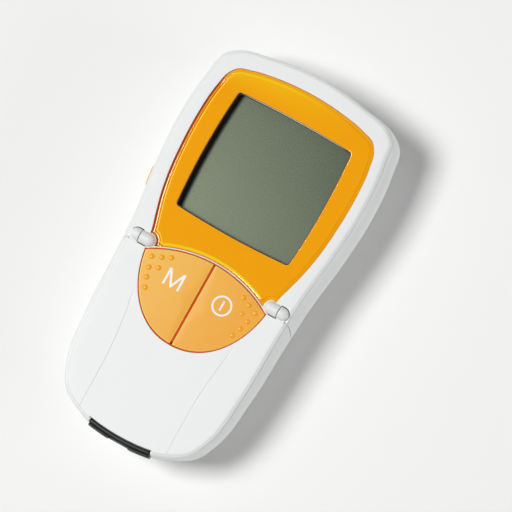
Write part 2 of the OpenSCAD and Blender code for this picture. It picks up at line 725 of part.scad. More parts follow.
module guide_mouth() rise(0, far) difference() {
    translate([-guide_w / 2 - seam_gap, toe_y - 5]) square([guide_w + 2 * seam_gap, 10]);
    translate([0, mouth_y + mouth_r]) circle(mouth_r, $fn = 180);
}

// Frame under the flap that holds the light shield, and the magnet's cup
module shield_seat() intersection() {
    union() {
        rise(shield_z, far / 2) difference() {
            translate([0, chamber_y]) centred(shield_w, shield_l);
            translate([0, chamber_y]) centred(shield_w - 3, shield_l - 3);
        }
        difference() {
            post(magnet_x, magnet_y, magnet_r + 1, shield_z, far / 2);
            post(magnet_x, magnet_y, magnet_r + tiny, 0, shield_z + magnet_h);
        }
    }
    under_top(plate_t - 0.3);
}
magnet_x = 22;
magnet_y = chamber_y + 8;
magnet_r = 2;
magnet_h = 1.2;
module light_shield() color("dimgray") rise(deck_z + 0.4, shield_z) difference() {
    translate([0, chamber_y]) centred(shield_w, shield_l);
    translate([0, chamber_y]) centred(slot_w + 2, chamber_l - 2);
}
module flap_magnet() color("silver") post(magnet_x, magnet_y, magnet_r, shield_z, shield_z + magnet_h);
module flap_sensor() color("black") {
    rise(belt_z - 1.2, belt_z) translate([magnet_x, magnet_y]) centred(3, 3);
}

pin_x0 = notch_x;
pin_x1 = knuckle_x - 1.4;
module hinge_pin() translate([0, hinge_y, hinge_z]) rotate([0, 90, 0]) barrel(pin_x0, pin_x1, pin_r);
module hinge_pin_left() color("silver") mirror([1, 0, 0]) hinge_pin();
module hinge_pin_right() color("silver") hinge_pin();

// ---- Measuring chamber ----

module chamber_window() color("lightblue", 0.5)
    rise(belt_z + 0.1, deck_z - 0.3) translate([0, chamber_y]) centred(chamber_w, chamber_l);
led_spots = [[-4, 0], [4, 0]];
led_r = 1.5;
optics_w = chamber_w + 8;
optics_l = chamber_l + 6;
module optics_block() color("black") difference() {
    rise(board_top, belt_z) translate([0, chamber_y]) centred(optics_w, optics_l);
    for (p = led_spots) post(p.x, chamber_y + p.y, led_r + fit_gap, 0, far);
    post(0, chamber_y + 4.5, 1.3, 0, far);
}
module measuring_leds() color("khaki")
    for (p = led_spots) post(p.x, chamber_y + p.y, led_r, board_top, belt_z - 0.6);
module photodiode() color("dimgray") post(0, chamber_y + 4.5, 1.2, board_top, belt_z - 0.6);

module strip_guide() color("black") difference() {
    union() {
        rise(deck_z + tiny, guide_top - 0.9) translate([-guide_w / 2, mouth_y - 1])
            square([guide_w, guide_l - 3.9]);
        rise(belt_z + 0.2, guide_top) difference() {
            intersection() {
                translate([-guide_w / 2, toe_y - guide_reach]) square([guide_w, 10]);
                translate([0, lip_centre_y]) circle(mouth_r, $fn = 180);
            }
            translate([0, mouth_y - seam_gap + mouth_r]) circle(mouth_r, $fn = 180);
            translate([-slot_w / 2, toe_y - 5]) square([slot_w, 5.1]);
            translate([-far / 2, toe_y + 1.7]) square([far, far]);
        }
    }
    block(-slot_w / 2, slot_w / 2, -far, mouth_y + guide_l, slot_z, slot_z + slot_h);
    // Room for the deck's edge
    rise(0, deck_z + tiny) polygon(inset(even(front_wall + seam_gap - 0.1)));
}

// ---- Batteries ----

module battery(i) color("steelblue") {
    x = (i - 2.5) * battery_pitch;
    up = i % 2 == 0 ? 1 : -1;
    translate([x, bay_y0 + bay_l / 2 + up * (0.5 - contact_room * 0.2), battery_z])
        rotate([-90 * up, 0, 0]) translate([0, 0, -battery_len / 2]) {
            cylinder(r = battery_r, h = battery_len - 0.8);
            cylinder(r = 1.9, h = battery_len);
        }
}
module battery_1() battery(1);
module battery_2() battery(2);
module battery_3() battery(3);
module battery_4() battery(4);

// Contact plates: the plus plate lies flat, the minus plate carries a pressed dome
module contact(i, minus) {
    x = (i - 2.5) * battery_pitch;
    up = (i % 2 == 0 ? 1 : -1) * (minus ? -1 : 1);
    y = up > 0 ? bay_y1 : bay_y0;
    reach = bay_l / 2 - battery_len / 2 + (minus ? 1 : -1) * (0.5 - contact_room * 0.2);
    translate([x, y, battery_z]) scale([1, up, 1]) {
        block(-4, 4, -contact_t, 0, -3.8, 3.8);
        rotate([90, 0, 0]) cylinder(r = minus ? 2.4 : 1.6, h = reach);
    }
}
module plus_contacts() color("silver") for (i = [1:4]) contact(i, false);
module minus_contacts() color("silver") for (i = [1:4]) contact(i, true);

module battery_cover() color("whitesmoke") {
    x = bay_w / 2 - cover_gap;
    end_y = bay_y1 - 2 * cover_gap;
    difference() {
        block(-x, x, bay_y0 + cover_gap, end_y, base_z, base_z + floor_t);
        // Thinner past the stubs, so that it clears the batteries as it turns
        block(-far, far, cover_axis_y - 1.5, far, cover_axis_z + 0.7, far);
    }
    at_cover_axis() cylinder(r = stub_r, h = bay_w + 2 * stub_l, center = true);
    // Thumb ridges near the free end
    for (k = [0:2]) block(-8, 8, bay_y0 + 4 + 2 * k, bay_y0 + 4.8 + 2 * k, base_z - 0.3, base_z + 0.5);
}

// ---- Fasteners and feet ----

module rubber_feet() color("gray") at_feet() cylinder(r = foot_r, h = base_z + foot_seat);
module housing_screws() color("silver") at_screws() difference() {
    union() {
        post(0, 0, head_r, head_seat - head_h, head_seat);
        post(0, 0, screw_r, head_seat - tiny, belt_z);
    }
    for (a = [0, 90]) rotate([0, 0, a]) block(-1.4, 1.4, -0.3, 0.3, 0, head_seat - head_h + 0.6);
}
module board_screws() color("silver") at_board_posts() difference() {
    union() {
        post(0, 0, board_screw_r + 0.9, board_top, board_top + 1.1);
        post(0, 0, board_screw_r, board_z - 4.8, board_top + tiny);
    }
    for (a = [0, 90]) rotate([0, 0, a]) block(-1.2, 1.2, -0.25, 0.25, board_top + 0.6, far);
}

rear_housing();
front_housing();
display_bezel();
display_lens();
lcd_cell();
lcd_frame();
lcd_reflector();
contact_strips();
main_board();
processor();
memory_chip();
clock_crystal();
buzzer();
infrared_window();
infrared_diode();
key_mat();
memory_switch();
power_switch();
set_switch();
memory_button();
power_button();
set_button();
measuring_flap();
hinge_pin_left();
hinge_pin_right();
light_shield();
flap_magnet();
flap_sensor();
chamber_window();
optics_block();
measuring_leds();
photodiode();
strip_guide();
battery_1();
battery_2();
battery_3();
battery_4();
plus_contacts();
minus_contacts();
battery_cover();
rubber_feet();
housing_screws();
board_screws();
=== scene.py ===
import json
import math

import bmesh
import bpy
import numpy as np
from mathutils import Matrix, Quaternion, Vector
from mathutils.geometry import delaunay_2d_cdt, tessellate_polygon


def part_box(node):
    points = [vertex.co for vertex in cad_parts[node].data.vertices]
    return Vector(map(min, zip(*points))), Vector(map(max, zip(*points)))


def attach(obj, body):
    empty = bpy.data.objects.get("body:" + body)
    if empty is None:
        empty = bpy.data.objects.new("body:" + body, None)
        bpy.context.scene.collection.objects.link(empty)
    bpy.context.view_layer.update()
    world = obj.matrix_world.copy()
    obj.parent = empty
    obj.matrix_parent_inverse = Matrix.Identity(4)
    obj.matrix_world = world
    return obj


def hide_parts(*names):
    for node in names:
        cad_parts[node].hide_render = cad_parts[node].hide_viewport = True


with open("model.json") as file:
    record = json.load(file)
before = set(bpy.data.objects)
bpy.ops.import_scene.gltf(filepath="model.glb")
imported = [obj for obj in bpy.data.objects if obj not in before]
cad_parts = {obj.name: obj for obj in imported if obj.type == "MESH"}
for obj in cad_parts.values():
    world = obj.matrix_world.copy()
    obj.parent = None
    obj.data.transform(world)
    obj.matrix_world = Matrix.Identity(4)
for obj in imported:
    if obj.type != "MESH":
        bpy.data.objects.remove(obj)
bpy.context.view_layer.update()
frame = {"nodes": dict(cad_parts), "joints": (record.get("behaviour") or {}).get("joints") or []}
nodes = frame["nodes"]
perMetre = 1000  # shapes are worked out in millimetres
farOut = 60  # lines that cut right across the body end this far from its middle
mergeDistance = 2e-7  # in metres


# what the frame gives
def nodeBox(name):
    low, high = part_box(name)
    return np.array(low) * perMetre, np.array(high) * perMetre


def placesOf(name):
    # the middles of the two solids that a node of four has on the right
    shown = nodes[name]
    points = np.array([shown.matrix_world @ v.co for v in shown.data.vertices]) * perMetre
    points = points[points[:, 0] > 0, :2]
    upper = points[:, 1] > points[:, 1].mean()
    return [np.round((own.min(0) + own.max(0)) / 2, 3) for own in (points[upper], points[~upper])]


rearLow, rearHigh = nodeBox("rear_housing")
bezelLow, bezelHigh = nodeBox("display_bezel")
lensLow, lensHigh = nodeBox("display_lens")
pinLow, pinHigh = nodeBox("hinge_pin_right")
keyLow, keyHigh = nodeBox("power_button")
guideLow, guideHigh = nodeBox("strip_guide")
coverLow, coverHigh = nodeBox("battery_cover")
matLow, matHigh = nodeBox("key_mat")
shieldLow, shieldHigh = nodeBox("light_shield")
glassLow, glassHigh = nodeBox("chamber_window")
magnetLow, magnetHigh = nodeBox("flap_magnet")
screwPlaces, postPlaces, footPlaces = (
    placesOf(name) for name in ("housing_screws", "board_screws", "rubber_feet"))

displayWidth = rearHigh[0] - rearLow[0]
topY, toeY = rearHigh[1], rearLow[1]
bodyLength = topY - guideLow[1]
baseZ, beltZ = rearLow[2], rearHigh[2]
bezelFloor, caseZ = bezelLow[2], bezelHigh[2]
bezelTopY = bezelHigh[1]
rimWidth = topY - bezelTopY
hingeY, hingeZ = (pinLow[1] + pinHigh[1]) / 2, (pinLow[2] + pinHigh[2]) / 2
flapLength = hingeY - toeY


# small maths
def mixed(a, b, t):
    return a + (b - a) * t


def clamped(v):
    return np.clip(v, 0, 1)


def unit(v):
    return v / np.maximum(np.linalg.norm(v, axis=-1, keepdims=True), 1e-12)


def arc(centre, radius, first, last, count):
    a = np.radians(np.linspace(first, last, count))
    return np.array(centre) + radius * np.stack([np.cos(a), np.sin(a)], -1)


def circle(centre, radius, count=40):
    return arc(centre, radius, 0, 360, count + 1)[:-1]


def rectangle(x0, x1, y0, y1):
    return np.array([[x0, y0], [x1, y0], [x1, y1], [x0, y1]], float)


def smoothCurve(knots, before, after):
    # passes through the knots, s counts them
    p = np.array([before, *knots, after], float)
    legs = p[1:] - p[:-1]
    long = np.linalg.norm(legs, axis=1, keepdims=True)
    ways = unit(legs[:-1] / long[:-1] * long[1:] + legs[1:] / long[1:] * long[:-1])

    def at(s):
        s = np.asarray(s, float)
        i = np.clip(np.floor(s).astype(int), 0, len(knots) - 2)
        t = (s - i)[..., None]
        reach = long[i + 1]
        return (p[i + 1] * (1 - 3 * t ** 2 + 2 * t ** 3) + p[i + 2] * (3 * t ** 2 - 2 * t ** 3)
                + ways[i] * reach * (t - 2 * t ** 2 + t ** 3) + ways[i + 1] * reach * (t ** 3 - t ** 2))
    return at


def grown(loop, d):
    # moves an outline along its left-hand normals
    way = unit(np.roll(loop, -1, 0) - np.roll(loop, 1, 0))
    return loop + d * np.stack([-way[:, 1], way[:, 0]], -1)


def bothSides(right):
    return np.concatenate([right, right[-2:0:-1] * [-1, 1]])


def inside(loop, points):
    x, y = points[:, 0], points[:, 1]
    found = np.zeros(len(points), bool)
    for a, b in zip(loop, np.roll(loop, -1, 0)):
        crosses = (a[1] > y) != (b[1] > y)
        found ^= crosses & (x < (b[0] - a[0]) * (y - a[1]) / (b[1] - a[1] + 1e-15) + a[0])
    return found


def within(outer, *holes):
    # a test for points that lie inside the outer loop and outside the holes
    def keep(points):
        found = inside(outer, points)
        for hole in holes:
            found &= ~inside(hole, points)
        return found
    return keep


# the casing's outline
casing = {
    "shoulderWidth": 74.2, "waistWidth": 72.6, "toeWidth": 64.2, "crownDrop": 6.9,
    "widestFromTop": 37, "cornerFromTop": 8.6, "waistFromHinge": 10, "bendFromToe": 16.8,
    "toeRises": [9.3, 2.7],  # how far above the strip end its round corners pass
    "flareDisplay": 3, "flareFlap": 1.8, "flareEnd": 0.8,  # how far the top face lies inside the widest line
    "flareFull": 18,  # the flare is the display's own from that far above the hinge
    "stepHeight": 1.3, "plateIn": 0.05, "flapDrop": 2.8, "flapFall": 1.5, "wall": 1.6, "plate": 1.8,
    "edge": 0.3, "innerEdge": 0.1, "brow": 1.15, "seamGap": 0.3, "seamLean": 3.8,
    "rearInset": 7.6, "rearWall": 2.6, "floor": 1.8,
    "bossRadius": 2.95, "bossMeet": 7,  # the bosses meet that far under the widest line
}
displayY = topY - casing["widestFromTop"]
waistY = hingeY - casing["waistFromHinge"]
bendY = toeY + casing["bendFromToe"]
cornerY = topY - casing["cornerFromTop"]
shoulder, widest, waist, toe = (w / 2 for w in (
    casing["shoulderWidth"], displayWidth, casing["waistWidth"], casing["toeWidth"]))
beltKnots = np.array([
    [0, topY],
    [0.54 * shoulder, topY - 0.3 * casing["crownDrop"]],
    [0.9 * shoulder, topY - 0.81 * casing["crownDrop"]],
    [shoulder, cornerY],
    [mixed(shoulder, widest, 0.6), mixed(cornerY, displayY, 0.32)],
    [widest, displayY],
    [mixed(widest, waist, 0.28), mixed(displayY, waistY, 0.36)],
    [mixed(widest, waist, 0.8), mixed(displayY, waistY, 0.71)],
    [waist, waistY],
    [mixed(waist, toe, 0.27), mixed(waistY, bendY, 0.55)],
    [toe, bendY],
    [0.885 * toe, toeY + casing["toeRises"][0]],
    [0.56 * toe, toeY + casing["toeRises"][1]],
    [0, toeY],
])
halfCurve = smoothCurve(beltKnots, beltKnots[1] * [-1, 1], beltKnots[-2] * [-1, 1])
knotCount = np.linspace(0, len(beltKnots) - 1, 2601)
walked = np.concatenate([[0], np.cumsum(np.linalg.norm(np.diff(halfCurve(knotCount), axis=0), axis=1))])
halfBelt = walked[-1]


def beltAt(s):
    # s is the way along the widest line, clockwise from the middle of the display end
    s = np.mod(s, 2 * halfBelt)
    left = s > halfBelt
    p = halfCurve(np.interp(np.where(left, 2 * halfBelt - s, s), walked, knotCount))
    return p * np.stack([np.where(left, -1, 1), np.ones_like(s)], -1)


def beltNormal(s):
    way = unit(beltAt(s + 0.2) - beltAt(s - 0.2))
    return np.stack([-way[..., 1], way[..., 0]], -1)


def beltHalf(y):
    right = halfCurve(knotCount)
    return np.interp(-np.asarray(y), -right[:, 1], right[:, 0])


def insetBelt(s, share, more):
    # the widest line moved in by a share of the flare and more
    p, n = beltAt(s), beltNormal(s)
    along = clamped((p[..., 1] - bendY) / (hingeY + casing["flareFull"] - bendY))
    side = mixed(casing["flareFlap"], casing["flareDisplay"], along)
    depth = share * mixed(casing["flareEnd"], side, n[..., 0] ** 2) + more
    return p - n * depth[..., None]


wholeBelt = np.linspace(0, 2 * halfBelt, 400, endpoint=False)
keys = {
    "width": 2 * keyHigh[0], "arch": 7.1, "drop": 3.3, "ellipseMiddle": 6, "fullness": 0.95,
    "split": 0.8, "gap": 0.45, "wall": 1, "top": 1.8, "edge": 0.45, "plungerRadius": 2.5,
    "plungerX": 11, "plungerFromHinge": 11.3, "dotRadius": 1.1, "dotHeight": 0.5,
    # from the middle line, and from the corners of the button field
    "dots": [[15.4, 1.7], [18.6, 0.2], [22.1, -1.3], [17.8, -3.8], [21, -5.3], [20, -8.8], [18.6, -12.4]],
}
keysCornerY = hingeY - keys["drop"]
keysLowY = keyLow[1]
plungerY = hingeY - keys["plungerFromHinge"]
archRadius = (keys["width"] ** 2 / 4 + keys["arch"] ** 2) / (2 * keys["arch"])
archY = keysCornerY + keys["arch"] - archRadius


def topZ(y):
    fall = clamped((keysCornerY - y) / (flapLength - keys["drop"]))
    return caseZ - casing["flapDrop"] * fall ** casing["flapFall"]


def faceTop(p):
    return topZ(p[:, 1])


def underFace(p):
    return topZ(p[:, 1]) - casing["plate"]


def keysOutline(d):
    # an arc above and a full oval below, grown by d
    r = archRadius + d
    half = math.asin((keys["width"] / 2 + d) / r)
    middleY = archY + r * math.cos(half) + keys["ellipseMiddle"]
    b = middleY - keysLowY + d
    first = math.asin(keys["ellipseMiddle"] / b)
    a = r * math.sin(half) / math.cos(first) ** keys["fullness"]
    t = np.linspace(-half, half, 61)
    upper = np.stack([r * np.sin(t), archY + r * np.cos(t)], -1)
    q = np.linspace(first, math.pi - first, 97)[1:-1]
    lower = [np.sign(np.cos(q)) * a * np.abs(np.cos(q)) ** keys["fullness"], middleY - b * np.sin(q)]
    return np.concatenate([upper, np.stack(lower, -1)])


# the bezel's outline
bezel = {
    "gap": 0.15, "grow": 0.03, "taper": 2.8, "rib": 0.5, "windowCorner": 1.2, "bow": 1.1, "bowLong": 0.85,
    "windowEdge": 0.35, "belowHinge": 0.6, "archPast": 4,
    # the upper corner: share of the half width, and drop from the upper edge
    "crown": [[0, 0], [0.4, 0.9], [0.72, 3], [0.855, 4.7], [0.922, 7.6], [0.967, 13.6]],
    "sideFrom": 2, "taperFrom": 26.2, "taperLong": 23, "taperCurve": 1.8,
    # distance in from the edge, drop below the face, and painted light from deep painted shade (-1) to pale
    # painted highlight (1):
    # outer edge, bead, valley and shoulder, as they are towards the left
    "side": [[-0.06, 1.12, -1], [0.3, 1.08, -1], [0.44, 1.02, -1], [0.54, 0.85, -0.9], [0.62, 0.62, -0.4],
             [0.72, 0.53, -0.3], [0.8, 0.505, -0.2], [0.9, 0.49, 0], [1.0, 0.475, 0], [1.07, 0.48, -0.3],
             [1.13, 0.53, -0.8], [1.2, 0.64, -1], [1.28, 0.66, -1], [1.36, 0.56, -0.7], [1.46, 0.42, 0],
             [1.56, 0.3, 0.7], [1.68, 0.18, 1], [1.92, 0.03, 1], [1.97, 0.004, 1], [2.2, 0, 0]],
    # the same towards the right, where the edge is gentler
    "far": [[-0.06, 0.62, -0.2], [0.1, 0.46, 0], [0.3, 0.36, 0.1], [0.6, 0.26, 0.15], [0.9, 0.17, 0.1],
            [1.1, 0.13, -0.1], [1.25, 0.11, -0.25], [1.4, 0.08, -0.2], [1.6, 0.04, 0], [1.9, 0.01, 0.1],
            [2.2, 0, 0]],
    # and along the upper edge
    "top": [[-0.06, 0.62, -0.2], [0.1, 0.46, 0], [0.4, 0.3, 0], [0.8, 0.2, 0.1], [1.1, 0.13, 0.5],
            [1.35, 0.09, 0.9], [1.9, 0.03, 0.9], [2.15, 0.01, 0.5], [2.4, 0, 0]],
    # and along the arch, which has no bead
    "arch": [[-0.06, 0.5, -0.2], [0.05, 0.36, 0], [0.14, 0.24, 0], [0.24, 0.14, 0.1], [0.34, 0.085, 0.4],
             [0.46, 0.06, 0.95], [0.75, 0.038, 1], [1.05, 0.018, 1], [1.25, 0.006, 0.7], [1.45, 0, 0]],
    "fade": [4, 22],  # distances from the middle line over which the left edge takes over
    "fadeTop": [5, 9],  # how far below the upper edge that starts, and over what length
    "topFade": [14, 8],  # the same for the upper edge's own shape
    "topEnd": [20, 30],  # where that ends at the right, and over what width
}
knuckle = {"radius": 2.4, "outerWidth": 3.7, "innerWidth": 5.7, "fromWaist": 2.9, "edge": 0.2, "clear": 0.5}
knuckleX = waist - knuckle["fromWaist"]
outerX0 = knuckleX - knuckle["outerWidth"]
innerX1 = outerX0 - casing["seamGap"]
domeX = innerX1 - knuckle["innerWidth"] + knuckle["radius"]
windowWidth = lensHigh[0] - lensLow[0] + 2 * bezel["gap"]
windowLength = lensHigh[1] - lensLow[1] + 2 * bezel["gap"]
windowY = (lensLow[1] + lensHigh[1]) / 2
bezelHalf = displayWidth / 2 - rimWidth
bezelLowY = hingeY - bezel["belowHinge"]


def windowOutline(d):
    a, b = windowWidth / 2 + d, windowLength / 2 + d
    r = bezel["windowCorner"] + max(0, d)
    side = np.stack([np.full(12, a), np.linspace(0, b - r, 12, endpoint=False)], -1)
    end = np.stack([np.linspace(a - r, 0, 13)[1:], np.full(12, b)], -1)
    q = np.concatenate([side, arc((a - r, b - r), r, 0, 90, 9), end])
    x = q[:, 0] - bezel["bow"] * (q[:, 1] / b) ** 2 * q[:, 0] / a
    y = q[:, 1] - bezel["bowLong"] * (q[:, 0] / a) ** 2 * q[:, 1] / b
    q = np.stack([x, y], -1)
    half = np.concatenate([q, q[-2::-1] * [-1, 1]])
    return np.concatenate([half, half[-2:0:-1] * [1, -1]]) + [0, windowY]


bezelKnots = [[x * bezelHalf, bezelTopY - y] for x, y in bezel["crown"]]
for t in (0, 0.25, 0.45, 0.63, 0.79, 0.91, 1):
    y = mixed(displayY + bezel["sideFrom"], bezelLowY, t)
    near = clamped((hingeY + bezel["taperFrom"] - y) / bezel["taperLong"]) ** bezel["taperCurve"]
    bezelKnots.append([float(beltHalf(y)) - rimWidth - bezel["taper"] * near, y])
bezelKnots = np.array(bezelKnots)
bezelCurve = smoothCurve(bezelKnots, bezelKnots[1] * [-1, 1], 2 * bezelKnots[-1] - bezelKnots[-2])
bezelRight = bezelCurve(np.linspace(0, len(bezelKnots) - 1, 145))
bezelSide = bothSides(np.concatenate([bezelRight, [[0, bezelLowY]]]))
archEdge = archRadius + keys["gap"] + bezel["rib"] + bezel["gap"]
notchRadius = knuckle["radius"] + knuckle["clear"]


def inBezel(points, d):
    x, y = np.abs(points[:, 0]), points[:, 1]
    arch = np.hypot(points[:, 0], y - archY) > archEdge - d
    notch = np.hypot(x - domeX, y - hingeY) > notchRadius - d
    beyond = (x > domeX) & (np.abs(y - hingeY) < notchRadius - d)
    return inside(bezelOutline(d), points) & arch & notch & ~beyond


def bezelOutline(d):
    return grown(bezelSide, d)


def bezelCuts(d):
    # the line of the arch, then those of the two notches
    half = math.degrees(math.asin(min(1, (knuckleX + bezel["archPast"]) / (archEdge - d))))
    r = notchRadius - d
    bend = arc((domeX, hingeY), r, 90, 270, 49)
    notch = np.concatenate([[[farOut, hingeY + r]], bend, [[farOut, hingeY - r]]])
    return [arc((0, archY), archEdge - d, 90 - half, 90 + half, 121), notch, notch * [-1, 1]]


# mesh tools: a shape is its points and its faces
def joined(shapes):
    points, faces, start = [], [], 0
    for p, f in shapes:
        points.append(p)
        faces += [tuple(i + start for i in face) for face in f]
        start += len(p)
    return np.concatenate(points), faces


def mirrored(shape):
    points, faces = shape
    return points * [-1, 1, 1], [face[::-1] for face in faces]


def upsideDown(shape):
    points, faces = shape
    return points * [1, 1, -1], [face[::-1] for face in faces]


def onBothSides(shape):
    return joined([shape, mirrored(shape)])


def rimsOf(triangles):
    ways = {(a, b) for t in triangles for a, b in zip(t, np.roll(t, -1))}
    after = {a: b for a, b in ways if (b, a) not in ways}
    rims = []
    while after:
        first, there = next(iter(after.items()))
        rim = [first]
        del after[first]
        while there != first:
            rim.append(there)
            there = after.pop(there)
        rims.append(np.array(rim))
    return rims


def outward(loop):
    # mitred directions out of a region that lies to the left of its loop
    before = unit(loop - np.roll(loop, 1, 0))
    after = unit(np.roll(loop, -1, 0) - loop)
    a = np.stack([before[:, 1], -before[:, 0]], -1)
    b = np.stack([after[:, 1], -after[:, 0]], -1)
    return (a + b) / np.maximum(1 + (a * b).sum(-1, keepdims=True), 0.12)


def roundEdge(radius, support=0.1, rows=4):
    turn = np.linspace(0, math.pi / 2, rows + 1)[1:]
    return [[support, 0]] + [[support + radius * math.sin(t), radius * (1 - math.cos(t))] for t in turn]


def reach(edge):
    # how far inside the finished outline a plate's flat part ends
    return edge[-1][0]


fineEdge = roundEdge(0.15, 0.05, 3)


def plate(loops, keep, top, low, edge, spots=(), lines=(), skirt=None):
    # a flat or gently curved piece; the loops lie inside its outline by the reach of its edge
    coords, edges = [], []
    for loop, isOpen in [(p, False) for p in loops] + [(p, True) for p in lines]:
        start, count = len(coords), len(loop)
        coords += [Vector(p) for p in loop]
        edges += [(start + i, start + (i + 1) % count) for i in range(count - isOpen)]
    coords += [Vector(p) for p in spots]
    flat, _, triangles, *_ = delaunay_2d_cdt(coords, edges, [], 0, 0.004)
    flat, triangles = np.array(flat), np.array(triangles)
    triangles = triangles[keep(flat[triangles].mean(axis=1))]
    used, triangles = np.unique(triangles, return_inverse=True)
    triangles, flat = triangles.reshape(-1, 3), flat[used]
    topAt = top if callable(top) else lambda p: np.full(len(p), float(top))
    lowAt = low if callable(low) else lambda p: np.full(len(p), float(low))
    points = [np.column_stack([flat, topAt(flat)])]
    faces = [tuple(t) for t in triangles]
    count, lastRings = len(flat), []
    for rim in rimsOf(triangles):
        base = flat[rim]
        way = outward(base)
        profile = edge(base) if callable(edge) else edge
        rings = []
        for out, drop in profile:
            moved = base + way * np.reshape(out, (-1, 1))
            rings.append(np.column_stack([moved, topAt(moved) - drop]))
        end = base + way * np.reshape(profile[-1][0], (-1, 1))
        rings.append(np.column_stack([end, lowAt(end)]))
        for out, z in skirt or ():
            moved = base + way * (profile[-1][0] + out)
            rings.append(np.column_stack([moved, np.full(len(moved), z) if np.isscalar(z) else z(moved)]))
        above, n = rim, len(rim)
        for ring in rings:
            here = count + np.arange(n)
            points.append(ring)
            count += n
            for i in range(n):
                j = (i + 1) % n
                faces.append((above[j], above[i], here[i], here[j]))
            above = here
        lastRings.append((above, rings[-1], rim))
    if skirt:
        order = np.concatenate([r[0] for r in lastRings])
        for t in tessellate_polygon([[Vector(p) for p in r[1]] for r in lastRings]):
            faces.append(tuple(order[i] for i in t))
    else:
        points.append(np.column_stack([flat, lowAt(flat)]))
        faces += [tuple(t[::-1] + count) for t in triangles]
        for above, _, rim in lastRings:
            for i in range(len(rim)):
                j = (i + 1) % len(rim)
                faces.append((above[j], above[i], rim[i] + count, rim[j] + count))
    return np.concatenate(points), faces


def slab(x0, x1, y0, y1, z0, z1, edge=0.15):
    turned = roundEdge(edge, 0.05, 3)
    e = reach(turned)
    loop = rectangle(x0 + e, x1 - e, y0 + e, y1 - e)
    return plate([loop], within(loop), z1, z0, turned)


def loft(rows, ring=False):
    # rows[station][point]: closed cross-sections, capped at both ends unless they form a ring
    stations, count = rows.shape[:2]
    index = np.arange(stations * count).reshape(stations, count)
    faces = []
    for i in range(stations if ring else stations - 1):
        a, b = index[i], index[(i + 1) % stations]
        faces += [(a[j], a[(j + 1) % count], b[(j + 1) % count], b[j]) for j in range(count)]
    if not ring:
        faces += [tuple(index[0][::-1]), tuple(index[-1])]
    return rows.reshape(-1, 3), faces


def lathe(profile, origin, axis="z", turns=48):
    # profile: [along the axis, radius], from one end to the other
    profile = np.array(profile, float)
    a = np.linspace(0, 2 * math.pi, turns, endpoint=False)
    points, faces, rings = [], [], []
    for along, r in profile:
        ring = [(r * math.cos(t), r * math.sin(t), along) for t in (a if r > 1e-6 else a[:1])]
        rings.append(np.arange(len(ring)) + sum(len(p) for p in points))
        points.append(np.array(ring))
    for low, high in zip(rings, rings[1:]):
        for i in range(turns):
            j = (i + 1) % turns
            face = [low[i % len(low)], low[j % len(low)], high[j % len(high)], high[i % len(high)]]
            faces.append(tuple(dict.fromkeys(int(v) for v in face)))
    if len(rings[0]) > 1:
        faces.append(tuple(int(v) for v in rings[0][::-1]))
    if len(rings[-1]) > 1:
        faces.append(tuple(int(v) for v in rings[-1]))
    p = np.concatenate(points)
    if axis == "x":
        p = p[:, [2, 0, 1]]
    if axis == "y":
        p = p[:, [1, 2, 0]]
    return p + np.array(origin, float), faces


def barrel(z0, z1, r, edge=0.15, dome=False):
    # a rod with rounded ends; dome makes its far end a half ball
    turn = np.radians([0, 22.5, 45, 67.5, 90])
    near = [[z0, 0]] + [[z0 + edge - edge * math.cos(t), r - edge + edge * math.sin(t)] for t in turn]
    if dome:
        turn = np.radians(np.linspace(90, 0, 13))
        return near + [[z1 - r + r * math.cos(t), r * math.sin(t)] for t in turn]
    far = [[z1 - edge + edge * math.cos(t), r - edge + edge * math.sin(t)] for t in turn[::-1]]
    return near + far + [[z1, 0]]


def meshOf(name, shape):
    points, faces = shape
    mesh = bpy.data.meshes.new(name)
    mesh.from_pydata((points / perMetre).tolist(), [], faces)
    mesh.validate()
    edit = bmesh.new()
    edit.from_mesh(mesh)
    bmesh.ops.remove_doubles(edit, verts=edit.verts, dist=mergeDistance)
    bmesh.ops.dissolve_degenerate(edit, edges=edit.edges, dist=mergeDistance)
    bmesh.ops.recalc_face_normals(edit, faces=edit.faces)
    edit.to_mesh(mesh)
    edit.free()
    return mesh


def carved(shape, cutter):
    # takes the cutter out of a single closed shape
    made = [bpy.data.objects.new("carve", meshOf("carve", s)) for s in (shape, cutter)]
    for o in made:
        bpy.context.scene.collection.objects.link(o)
    cut = made[0].modifiers.new("cut", "BOOLEAN")
    cut.object, cut.operation, cut.solver = made[1], "DIFFERENCE", "EXACT"
    shown = made[0].evaluated_get(bpy.context.evaluated_depsgraph_get()).to_mesh()
    points = np.array([v.co for v in shown.vertices]) * perMetre
    faces = [tuple(p.vertices) for p in shown.polygons]
    made[0].evaluated_get(bpy.context.evaluated_depsgraph_get()).to_mesh_clear()
    for o in made:
        bpy.data.objects.remove(o)
    return points, faces


def piece(name, shapes, material, body, replaced=(), sharp=32):
    # one object from its shapes; a shape may carry its own material
    parts = [s if len(s) == 3 else (*s, material) for s in shapes]
    materials = list(dict.fromkeys(p[2] for p in parts))
    mesh = meshOf(name, joined([p[:2] for p in parts])) if len(materials) == 1 else None
    if mesh is None:
        whole = bmesh.new()
        for points, faces, own in parts:
            part = meshOf(name, (points, faces))
            before = len(whole.faces)
            whole.from_mesh(part)
            whole.faces.ensure_lookup_table()
            for face in whole.faces[before:]:
                face.material_index = materials.index(own)
        mesh = bpy.data.meshes.new(name)
        whole.to_mesh(mesh)
        whole.free()
    edit = bmesh.new()
    edit.from_mesh(mesh)
    for face in edit.faces:
        face.smooth = True
    limit = math.radians(sharp)
    for edge in edit.edges:
        edge.smooth = len(edge.link_faces) == 2 and edge.calc_face_angle(0) < limit
    edit.to_mesh(mesh)
    edit.free()
    for own in materials:
        mesh.materials.append(own.material)
    o = bpy.data.objects.new(name, mesh)
    bpy.context.scene.collection.objects.link(o)
    weigh = o.modifiers.new("even shading", "WEIGHTED_NORMAL")
    weigh.keep_sharp = True
    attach(o, body)
    if replaced:
        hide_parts(*([replaced] if isinstance(replaced, str) else replaced))
    return o


